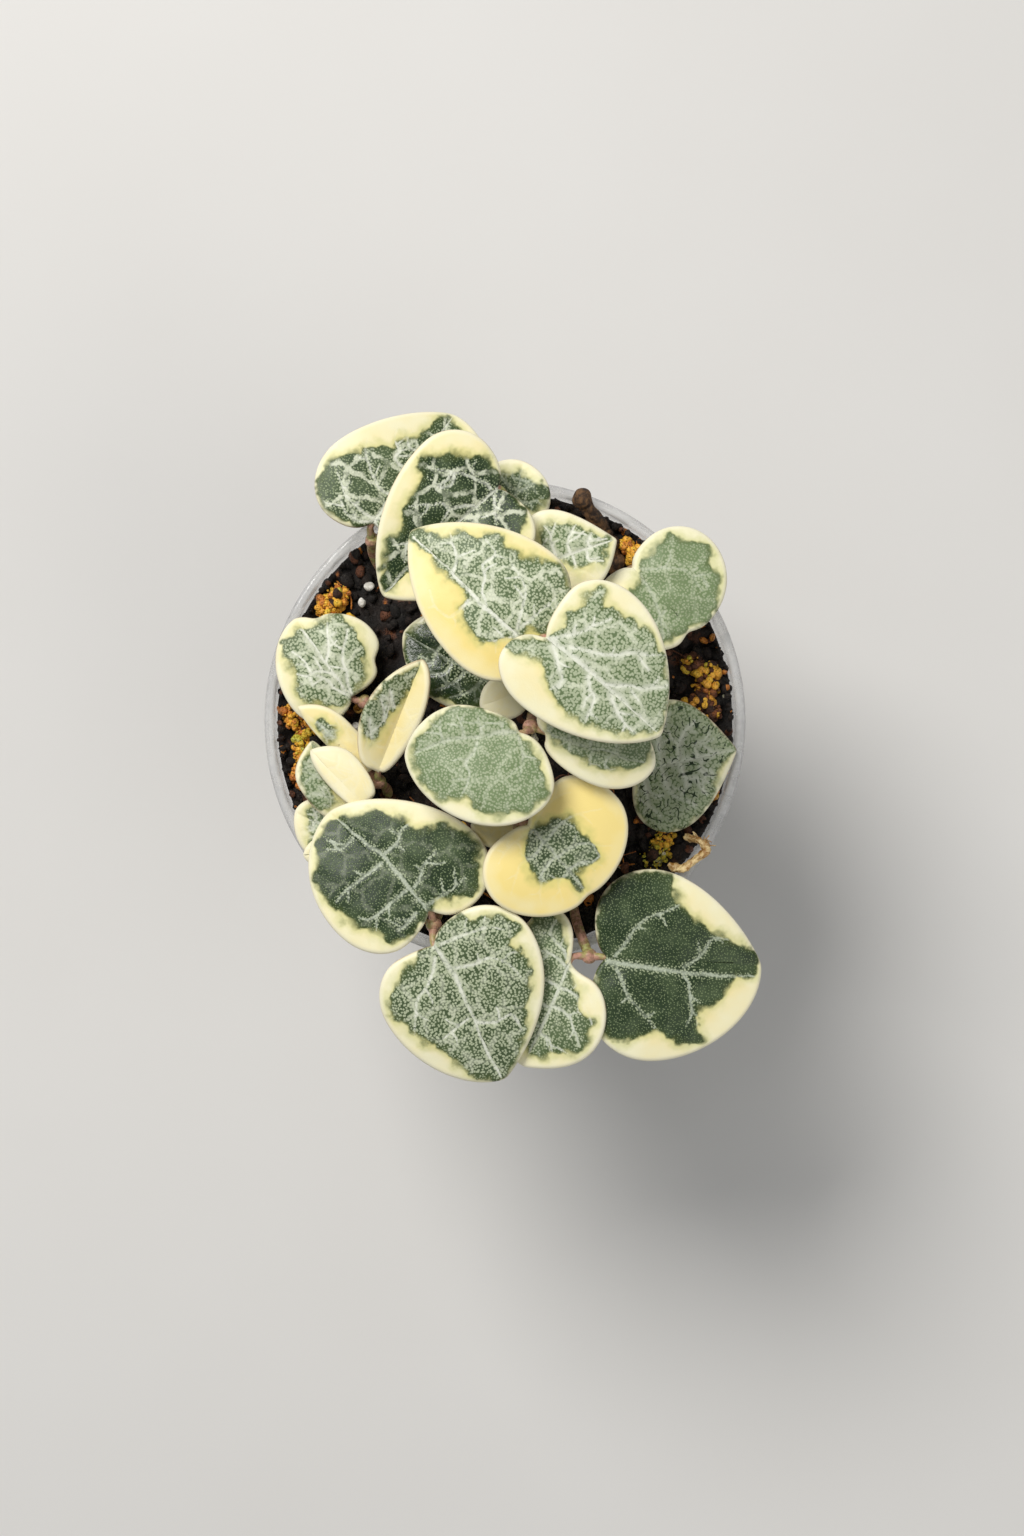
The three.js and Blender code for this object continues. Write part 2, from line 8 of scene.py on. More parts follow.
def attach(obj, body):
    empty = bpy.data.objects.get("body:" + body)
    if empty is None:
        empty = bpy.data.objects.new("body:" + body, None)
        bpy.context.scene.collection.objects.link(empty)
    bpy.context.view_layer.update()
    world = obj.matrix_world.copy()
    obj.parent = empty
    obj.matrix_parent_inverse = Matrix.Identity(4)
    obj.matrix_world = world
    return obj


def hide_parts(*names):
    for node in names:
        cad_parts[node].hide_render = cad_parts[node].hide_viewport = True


# A variegated string of hearts in a small clear nursery pot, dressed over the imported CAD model.
# Shapes are worked out in millimetres, in the CAD frame: +Z up from the centre of the pot's base.

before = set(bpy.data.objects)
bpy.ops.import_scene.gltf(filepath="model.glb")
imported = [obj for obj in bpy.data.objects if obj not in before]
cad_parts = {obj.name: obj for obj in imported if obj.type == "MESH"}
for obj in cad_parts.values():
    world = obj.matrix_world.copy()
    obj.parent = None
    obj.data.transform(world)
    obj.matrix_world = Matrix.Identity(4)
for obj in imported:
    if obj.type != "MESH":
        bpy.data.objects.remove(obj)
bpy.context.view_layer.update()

# Pot
POT_HEIGHT = 50
POT_FLOOR = 1.2
BASE_RADIUS = 19
WALL = 0.9
SHOULDER_HEIGHT = 44
SHOULDER_RADIUS = 25.3
COLLAR_RADIUS = 27.3
RIM_RADIUS = 27.5
RIM_WIDTH = 1.1
SHELF_HEIGHT = SHOULDER_HEIGHT + WALL
POT_SIDES = 180
DRAIN_HOLES = 6
DRAIN_RADIUS = 2.2
DRAIN_CIRCLE = 12.5
DRAIN_SIDES = 36
DRAIN_CUT = (-1, 2.5)
OUTER_WALL_STEPS = (0.1, 0.2, 0.35, 0.5, 0.65, 0.8, 0.9, 0.99)
INNER_WALL_STEPS = (0.9, 0.65, 0.35, 0.1, 0.02)
SHARP_ANGLE = 38

# Potting mix
GAP = 0.3
TOP_GAP = 0.06
SOIL_RIM_LEVEL = 47
SOIL_CROWN_RISE = 0.9
SOIL_SIDES = 210
SOIL_RINGS = 46
SOIL_SIDE_ROWS = 46
SOIL_SEED = 11
# Relief of the top: height, waves a millimetre and seed of each layer
SOIL_RELIEF = ((0.35, 0.35, 1), (0.25, 0.8, 2))
SOIL_RELIEF_LIMIT = 0.8
SOIL_TINT = 0.16
SPECK_TINT = 0.62
SPECK_LEVEL = 1.75
# Sizes by chance: the least, how much more, and the power that makes big ones rare
CRUMB_SIZES = (0.22, 0.55, 2.2)
CRUMB_COUNT = 1900
CRUMB_AREA_RADIUS = 25.75
CRUMB_LIFTS = (0.05, 0.45)
FINE_CRUMB = 0.38
FIBRE_COUNT = 90
FIBRE_LIFT = 0.45
FIBRE_REACHES = (1, 2.4)
FIBRE_RADII = (0.06, 0.13)
FIBRE_SIDES = 5
FIBRE_TINTS = (0.42, 0.5, 0.6)
BANK_CRUMBS = 300
BANK_SIZES = (0.25, 0.45)
BANK_HEIGHTS = (47.2, 48.5)
FINE_BANK_CRUMB = 0.35
WALL_CRUMBS = 800
WALL_CRUMB_SIZES = (0.3, 0.6, 2)
FINE_WALL_CRUMB = 0.5
WALL_CRUMB_DEPTH = 0.35
WALL_CRUMB_FLATNESS = 0.45

# Stems
STEM_RADIUS = 0.6
PETIOLE_RADIUS = 0.5
BURIED_DEPTH = 6
JOINT_RADIUS = 0.85
STEM_SIDES = 14
STEM_STEP = 0.4
STEM_UNEVENNESS = 0.06
STEM_TAPER = 0.1
PETIOLE_STEP = 0.35
PETIOLE_ENDS = 1.12
PETIOLE_WAIST = 0.35

# Blades
MARGIN_HALF = 0.45
MIDDLE_HALF = 0.6
MARGIN_ROUND = 0.55
MIDDLE_RISE = 4
BLADE_MIDDLE = 0.42
WAVE_SPAN = 4
NOTCH_BACK = 0.7
NOTCH_ACROSS = 0.12
NOTCH_END = 0.5
SMALL_LEAF = 7.5
# Steps of each half of the outline: from the notch to the lobe, on to the flank and on to the tip
OUTLINE_STEPS = (22, 26, 52)
SMALL_OUTLINE_STEPS = (12, 14, 26)
# Rings of the upper and of the lower face
BLADE_RINGS = (34, 9)
SMALL_BLADE_RINGS = (22, 6)
MARGIN_DEPTHS = (0.03, 0.1, 0.2, 0.34, 0.52, 0.74)
# Relief of the upper face: grooves of the veins and slow dents, which fade at the margin and on the cream
VEIN_DEPTH = 0.09
GROOVE_FALL = 0.35
QUILT = 0.06
QUILT_SCALE = 0.22
RELIEF_FADE = (0.1, 1.2)
CREAM_RELIEF = 0.2
GREEN_BLEND = (-0.8, 0.8)
SOFTENING_ROUNDS = 6
# How far apart the blades lie in the noise, so that no two share a pattern
PATTERN_SHIFT = (0.83, 0.29, 0.37)
# Two places of the petiole: share of the blade's length, and height in thicknesses of the blade
PETIOLE_MEETS = (0.1, -0.1)
PETIOLE_LEAVES = (-0.02, -0.4)

# Camera: it looks straight down. The height of its view is measured at the rim
CAMERA_AT = (0.0008, -0.00536, 0.45)
RIM_LEVEL = 0.05
VIEW_HEIGHT = 0.17527
SENSOR = 36

MM = 0.001


# Seeded draws and smooth noise

class Draws:
    """The same run of draws between 0 and 1 that places the lumps of the solid model."""

    def __init__(self, seed):
        self.state = seed

    def __call__(self):
        self.state = (self.state * 1664525 + 1013904223) % 4294967296
        return self.state / 4294967296


def seed_of(name):
    return sum(map(ord, name))


def unit(vector):
    return vector / np.linalg.norm(vector)


def around(radius, angle, height):
    """The place at a radius and an angle about the pot's axis."""
    return np.array([radius * math.cos(angle), radius * math.sin(angle), height])


def turned(angle):
    """The matrix of a turn in the plane."""
    return np.array([[math.cos(angle), -math.sin(angle)], [math.sin(angle), math.cos(angle)]])


def drawn_size(source, least, more, power):
    """A size by chance. The power makes big ones rare."""
    return least + more * source.uniform() ** power


def waves(points, scale, seed, count=7):
    """Smooth noise of about -1 to 1: sine waves in seeded directions. scale is waves per millimetre."""
    source = np.random.default_rng(seed)
    total = np.zeros(len(points))
    for _ in range(count):
        way = unit(source.normal(size=points.shape[1]))
        phase = source.uniform(0, 2 * math.pi)
        pitch = scale * source.uniform(0.6, 1.5) * 2 * math.pi
        total += np.sin(points @ way * pitch + phase)
    return total / math.sqrt(count)


def layered_waves(points, layers):
    """Layers of noise in one, each with its height, waves a millimetre and seed."""
    return sum(height * waves(points, scale, seed) for height, scale, seed in layers)


# Meshes

class Pile:
    """Points in millimetres, faces, and one number or vector a point for each named value."""

    def __init__(self, **widths):
        self.widths = widths
        self.points = []
        self.faces = []
        self.values = {name: [] for name in widths}
        self.count = 0

    def add(self, points, faces, **values):
        points = np.asarray(points, float)
        self.points.append(points)
        self.faces.extend([tuple(int(i) + self.count for i in face) for face in faces])
        for name, width in self.widths.items():
            value = np.asarray(values.get(name, 0), float)
            shape = (len(points), width)
            if value.shape == (len(points),):
                value = value[:, None]
            self.values[name].append(np.broadcast_to(value, shape))
        self.count += len(points)

    def build(self, name, material):
        mesh = bpy.data.meshes.new(name)
        mesh.from_pydata((np.concatenate(self.points) * MM).tolist(), [], self.faces)
        for key, width in self.widths.items():
            kind = "FLOAT" if width == 1 else "FLOAT_VECTOR"
            layer = mesh.attributes.new(key, kind, "POINT")
            flat = np.concatenate(self.values[key]).astype(np.float32).ravel()
            layer.data.foreach_set("value" if width == 1 else "vector", flat)
        mesh.polygons.foreach_set("use_smooth", [True] * len(mesh.polygons))
        mesh.materials.append(material)
        mesh.update()
        piece = bpy.data.objects.new(name, mesh)
        bpy.context.scene.collection.objects.link(piece)
        return piece


def place(piece, slot, *nodes):
    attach(piece, "root")
    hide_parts(*nodes)


def smoothstep(value, low, high):
    share = np.clip((value - low) / (high - low), 0, 1)
    return share * share * (3 - 2 * share)


def spline(points, step, closed=False):
    """A smooth line through the points, with about the given step between its points."""
    points = np.asarray(points, float)
    count = len(points)
    if closed:
        padded = np.concatenate([points[-1:], points, points[:2]])
    else:
        padded = np.concatenate([[2 * points[0] - points[1]], points, [2 * points[-1] - points[-2]]])
    line = []
    for i in range(count if closed else count - 1):
        a, b, c, d = padded[i:i + 4]
        steps = max(1, int(round(np.linalg.norm(c - b) / step)))
        t = (np.arange(steps) / steps)[:, None]
        line.append(0.5 * (2 * b + (c - a) * t + (2 * a - 5 * b + 4 * c - d) * t ** 2
                           + (3 * b - a - 3 * c + d) * t ** 3))
    if not closed:
        line.append(points[-1:])
    return np.concatenate(line)


def tube(points, radii, sides, flat=1.0):
    """A closed tube along the points. flat squeezes its section."""
    points = np.asarray(points, float)
    radii = np.broadcast_to(np.asarray(radii, float), (len(points),))
    ways = np.gradient(points, axis=0)
    ways /= np.linalg.norm(ways, axis=1)[:, None]
    side = np.cross(ways[0], [0.3, 0.9, 0.2])
    angles = np.arange(sides) / sides * 2 * math.pi
    rings = []
    for point, way, radius in zip(points, ways, radii):
        side = side - way * (side @ way)
        side /= np.linalg.norm(side)
        up = np.cross(way, side)
        rings.append(point + radius * (np.cos(angles)[:, None] * side + flat * np.sin(angles)[:, None] * up))
    foot = points[:1] - ways[:1] * radii[0] * 0.5
    head = points[-1:] + ways[-1:] * radii[-1] * 0.5
    verts = np.concatenate(rings + [foot, head])
    faces = []
    for ring in range(len(points) - 1):
        for i in range(sides):
            j = (i + 1) % sides
            faces.append((ring * sides + i, ring * sides + j, (ring + 1) * sides + j, (ring + 1) * sides + i))
    first = len(verts) - 2
    last = (len(points) - 1) * sides
    for i in range(sides):
        j = (i + 1) % sides
        faces.append((first, j, i))
        faces.append((first + 1, last + i, last + j))
    return verts, faces


def ball(level):
    """A unit ball of triangles."""
    golden = (1 + math.sqrt(5)) / 2
    verts = [(-1, golden, 0), (1, golden, 0), (-1, -golden, 0), (1, -golden, 0),
             (0, -1, golden), (0, 1, golden), (0, -1, -golden), (0, 1, -golden),
             (golden, 0, -1), (golden, 0, 1), (-golden, 0, -1), (-golden, 0, 1)]
    faces = [(0, 11, 5), (0, 5, 1), (0, 1, 7), (0, 7, 10), (0, 10, 11), (1, 5, 9), (5, 11, 4),
             (11, 10, 2), (10, 7, 6), (7, 1, 8), (3, 9, 4), (3, 4, 2), (3, 2, 6), (3, 6, 8),
             (3, 8, 9), (4, 9, 5), (2, 4, 11), (6, 2, 10), (8, 6, 7), (9, 8, 1)]
    verts = [np.array(v) / np.linalg.norm(v) for v in verts]
    for _ in range(level):
        middles = {}

        def middle(a, b):
            key = (min(a, b), max(a, b))
            if key not in middles:
                point = verts[a] + verts[b]
                verts.append(point / np.linalg.norm(point))
                middles[key] = len(verts) - 1
            return middles[key]

        split = []
        for a, b, c in faces:
            ab, bc, ca = middle(a, b), middle(b, c), middle(c, a)
            split += [(a, ab, ca), (b, bc, ab), (c, ca, bc), (ab, bc, ca)]
        faces = split
    return np.array(verts), faces


BALLS = [ball(level) for level in range(4)]


def grain(centre, size, seed, level, rough=0.25, stretch=0.35):
    """An uneven grain: a ball that is stretched, turned and dented."""
    verts, faces = BALLS[level]
    source = np.random.default_rng(seed)
    turn, _ = np.linalg.qr(source.normal(size=(3, 3)))
    if np.linalg.det(turn) < 0:
        turn[:, 0] *= -1
    dents = 1 + rough * waves(verts, 0.45, seed, 5)
    shaped = verts * dents[:, None] * (1 + stretch * source.uniform(-1, 1, 3))
    return np.asarray(centre) + size * shaped @ turn.T, faces


def lathe(profile, sides):
    """A closed surface turned about the pot's axis. The profile starts and ends on the axis."""
    profile = np.asarray(profile, float)
    angles = np.arange(sides) / sides * 2 * math.pi
    inner = profile[1:-1]
    verts = [(0, 0, profile[0][1])]
    for radius, height in inner:
        verts += [(radius * math.cos(a), radius * math.sin(a), height) for a in angles]
    verts.append((0, 0, profile[-1][1]))
    faces = []
    last = len(verts) - 1
    for i in range(sides):
        j = (i + 1) % sides
        faces.append((0, 1 + j, 1 + i))
        end = 1 + (len(inner) - 1) * sides
        faces.append((last, end + i, end + j))
        for row in range(len(inner) - 1):
            low = 1 + row * sides
            high = low + sides
            faces.append((low + i, low + j, high + j, high + i))
    return np.array(verts, float), faces


# Leaves: the same table and formulas as the solid model, at finer steps. Only leftBudPair sits 0.3 mm
# higher here, clear of the folded blade beneath it.

def half(wide, at, back, fold=8, curl=-16, tip=70, full=0.55, lobe=0.46, round=0.55):
    """One half of a leaf: widths and places in mm, angles in degrees, and shares of its fullness."""
    return {"wide": wide, "at": at, "back": back, "fold": fold, "curl": curl, "tip": tip,
            "full": full, "lobe": lobe, "round": round}


def leaf(at, heading, length, left, right, pitch=0, roll=0, arch=18, ripple=0.25):
    """at: where the midrib starts. arch: how far it bends, in degrees. ripple: height of its waves."""
    return {"at": at, "heading": heading, "length": length, "left": left, "right": right,
            "pitch": pitch, "roll": roll, "arch": arch, "ripple": ripple}


LEAVES = {
    "backLeft": leaf((-14.9, 22.2, 56), 54, 16.4,
         half(9, 3.4, 2.4, tip=66, full=0.36), half(8.6, 8, 0.2, tip=95), pitch=-16),
    "backOver": leaf((-0.9, 25.6, 60), -137, 17.5,
         half(7.6, 2.5, 0.9, fold=16, tip=62, full=0.5),
         half(9.4, 2.4, 2.5, fold=16, tip=68, full=0.47, lobe=0.48)),
    "backLow": leaf((1, 23.4, 55), 80, 6, half(4.6, 2.2, 1.2, tip=95), half(3.9, 1.6, 1.2, tip=75)),
    "crownLeft": leaf((1.6, 9.1, 66), 136, 16.95,
         half(6.9, 3.2, 2.8, tip=55, full=0.5),
         half(9.15, 2.8, 2.4, tip=65, full=0.45, lobe=0.32), pitch=-5),
    "crownRight": leaf((4.6, 8.7, 68), -40, 16.7,
         half(9.85, 4, 1.5, tip=65, full=0.47, lobe=0.57),
         half(7.4, 2.4, 3, tip=62, full=0.5, lobe=0.5), pitch=-7),
    "crownInner": leaf((4, 8.8, 61.6), 40, 5.4, half(2.6, 1.8, 0.6), half(2.4, 1.8, 0.6)),
    "farRight": leaf((14.4, 17.1, 55), -47, 10.1,
         half(8.9, 3.7, 1.35, tip=100, full=0.6, lobe=0.4),
         half(6.6, 4, 1.2, tip=95), roll=-8),
    "underCrown": leaf((3.9, 17.1, 57), 20, 9.3,
         half(5.95, 2.2, 1, tip=50, full=0.4), half(4.3, 4.6, 1, tip=62, full=0.45), pitch=5),
    "darkGloss": leaf((-1.8, 4.5, 51.6), 150, 11.4,
         half(5, 4, 1.2, full=0.5), half(5.8, 4, 1.2, tip=80), pitch=-4),
    "tornCream": leaf((1.6, 3.2, 54), -160, 4.8, half(2.6, 1.6, 0.6), half(2.6, 1.6, 0.6)),
    "leftRound": leaf((-17.5, 2.7, 51), 125, 11.1,
         half(6.3, 3, 1.2, tip=88), half(6.4, 4.4, 0.1, tip=64, lobe=0.3), roll=4),
    "leftFolded": leaf((-14.4, -5.9, 53.2), 68, 14.1,
         half(4.4, 6.2, -0.2, fold=26, curl=-8, tip=60, full=0.5, lobe=0.3, round=0.45),
         half(2.7, 7.8, -0.3, fold=26, curl=-8, tip=80, lobe=0.2, round=0.4), pitch=12, arch=8),
    "leftCream": leaf((-15.4, -5.8, 52.4), 137, 11,
         half(1.2, 5, 0, fold=-30, curl=0, tip=60), half(2.6, 6, 0.1, tip=60), pitch=5),
    "leftBud": leaf((-17.8, -9.6, 52.8), 120, 8.5,
         half(3.9, 4.4, 0.6, fold=24, curl=-10, tip=65),
         half(2, 3.4, 0.1, fold=66, curl=0, tip=60)),
    "leftBudPair": leaf((-15.9, -9.5, 54.6), 134, 8.7,
         half(1.4, 4, 0.1), half(3.1, 4.8, 0.1, tip=65, full=0.5)),
    "edgeTip": leaf((-17.8, -14.4, 52.8), 190, 5.2, half(1.8, 2.6, 0.3), half(1.8, 2.6, 0.3)),
    "edgeLeft": leaf((-17.5, -13.6, 51), 153, 7.3, half(3.9, 2.2, 0.8), half(3.2, 3.4, 0.8, tip=90)),
    "frontLeft": leaf((-8.6, -21.2, 57), 136, 15.9,
         half(9.1, 5, 1.1, tip=85), half(9.9, 2.2, 3.3, tip=75, full=0.45), pitch=-6),
    "middle": leaf((1.9, -1.5, 63.5), -169, 13.4,
         half(9.75, 3.2, 2.5, tip=90, full=0.5, lobe=0.58),
         half(4.5, 6.8, -0.4, full=0.5, lobe=0.2, round=0.3), pitch=-5),
    "middleRight": leaf((4.2, -1.3, 62), -17, 13.1,
         half(5, 5, 1.2, tip=78), half(4.1, 7.6, -0.6, tip=85, lobe=0.3, round=0.4), roll=8),
    "soilRight": leaf((15.4, -5.8, 49.3), 13, 11.5,
         half(7.4, 4.4, 1.6, tip=62, full=0.5),
         half(7.6, 2.6, 1.5, tip=55, full=0.42, lobe=0.5), pitch=8, arch=8),
    "frontCream": leaf((2.6, -11.8, 59), -49, 10.6,
         half(9.65, 4.2, 1.7, tip=95, lobe=0.58),
         half(8.4, 3.6, 1, tip=95, full=0.5), pitch=-5),
    "sliver": leaf((1, -12.6, 55), 170, 5, half(2.2, 2, 0.6), half(2.2, 2, 0.6)),
    "frontRight": leaf((11.6, -26.7, 55), -3, 18,
         half(10.25, 4.6, 1.7, tip=60, full=0.42),
         half(11.55, 5, 1.8, tip=93, full=0.5), pitch=-10),
    "frontUnder": leaf((7.4, -26.9, 55.4), -114, 13.7,
         half(6.95, 6.5, -1, lobe=0.4, round=0.5),
         half(7, 5, 4.6, lobe=0.62), pitch=-9, roll=8),
    "frontMiddle": leaf((-7.9, -25.3, 57), -62, 17.6,
         half(10.6, 3.6, 2.1, tip=60, full=0.5),
         half(8.85, 5, 0.5, tip=80, full=0.5), pitch=-10, roll=5),
}

# Dents of the margin: the angle round the blade's middle, the depth in mm and the spread in degrees
DENTS = {
    "farRight": [(355, 0.6, 10)],
    "leftRound": [(240, 0.9, 10), (340, 0.5, 9)],
    "frontCream": [(358, 0.25, 8)],
}

# Leafy stems: three points of the stem from the mix up to its joint, and the leaves that grow there
SHOOTS = {
    "stem_back_left": ((-14.1, 17.1, 47), (-15, 18.9, 51), (-15, 20.4, 54), "backLeft"),
    "stem_back": ((1, 21, 47), (0.6, 22.5, 53), (0.2, 24.6, 58), "backOver", "backLow"),
    "stem_crown": ((3.2, 5, 47), (3.6, 6.4, 57), (3.1, 8.2, 64.5),
        "crownLeft", "crownRight", "crownInner"),
    "stem_far_right": ((9.4, 13, 47), (10.6, 14, 51.5), (12.6, 15.8, 54), "farRight"),
    "stem_under_crown": ((1, 13.5, 47), (1.4, 14.8, 52), (2.4, 16.2, 55.6), "underCrown"),
    "stem_dark": ((0.8, 1.5, 47), (0.6, 2.8, 49.4), (0.2, 3.8, 51), "darkGloss", "tornCream"),
    "stem_left": ((-13.4, 1.6, 47), (-14.2, 1.8, 49.2), (-16, 2.2, 50.2), "leftRound"),
    "stem_left_pair": ((-13.4, -8.4, 47), (-13.6, -7.6, 49.6), (-14.4, -6.9, 51.4),
        "leftFolded", "leftCream"),
    "stem_left_bud": ((-14.6, -11.8, 47), (-15.2, -11.2, 49.4), (-16.2, -10.4, 51.8),
        "leftBud", "leftBudPair"),
    "stem_edge": ((-14, -15, 47), (-14.8, -14.6, 49), (-16.2, -13.8, 50.4), "edgeLeft", "edgeTip"),
    "stem_front_left": ((-6.4, -18.8, 47), (-7, -20.6, 52), (-8, -23, 55.4), "frontLeft", "frontMiddle"),
    "stem_middle": ((3.2, 1, 47), (3, 0.4, 55), (2.9, -0.8, 61.4), "middle", "middleRight"),
    "stem_right": ((11.6, -4.6, 46.6), (12.4, -4.8, 48.4), (14, -5.4, 48.8), "soilRight"),
    "stem_front_cream": ((0.8, -8.6, 47), (0.8, -10, 53), (1.6, -11.4, 57), "frontCream", "sliver"),
    "stem_front": ((7.6, -20, 47), (8.2, -23, 51.6), (9.5, -26.6, 54.2), "frontRight", "frontUnder"),
}

# Markings of each blade, in its own millimetres: along the midrib, and across it to the left.
# tone: how dark the green is, how silvery, how yellow the cream. green: outline of the green area.
# veins: lines of the main veins, the midrib first. Veins that aren't given are grown from a plan.
# rivers: how strong the pale gaps between the islands of green are. They usually follow the silver.
# veining, worms and gloss: how strong the veins and the dark worm marks are, and whether the blade shines.
USUAL_RIVERS = 0.6
USUAL_KIND = {"veining": 1, "worms": 0, "gloss": 0}

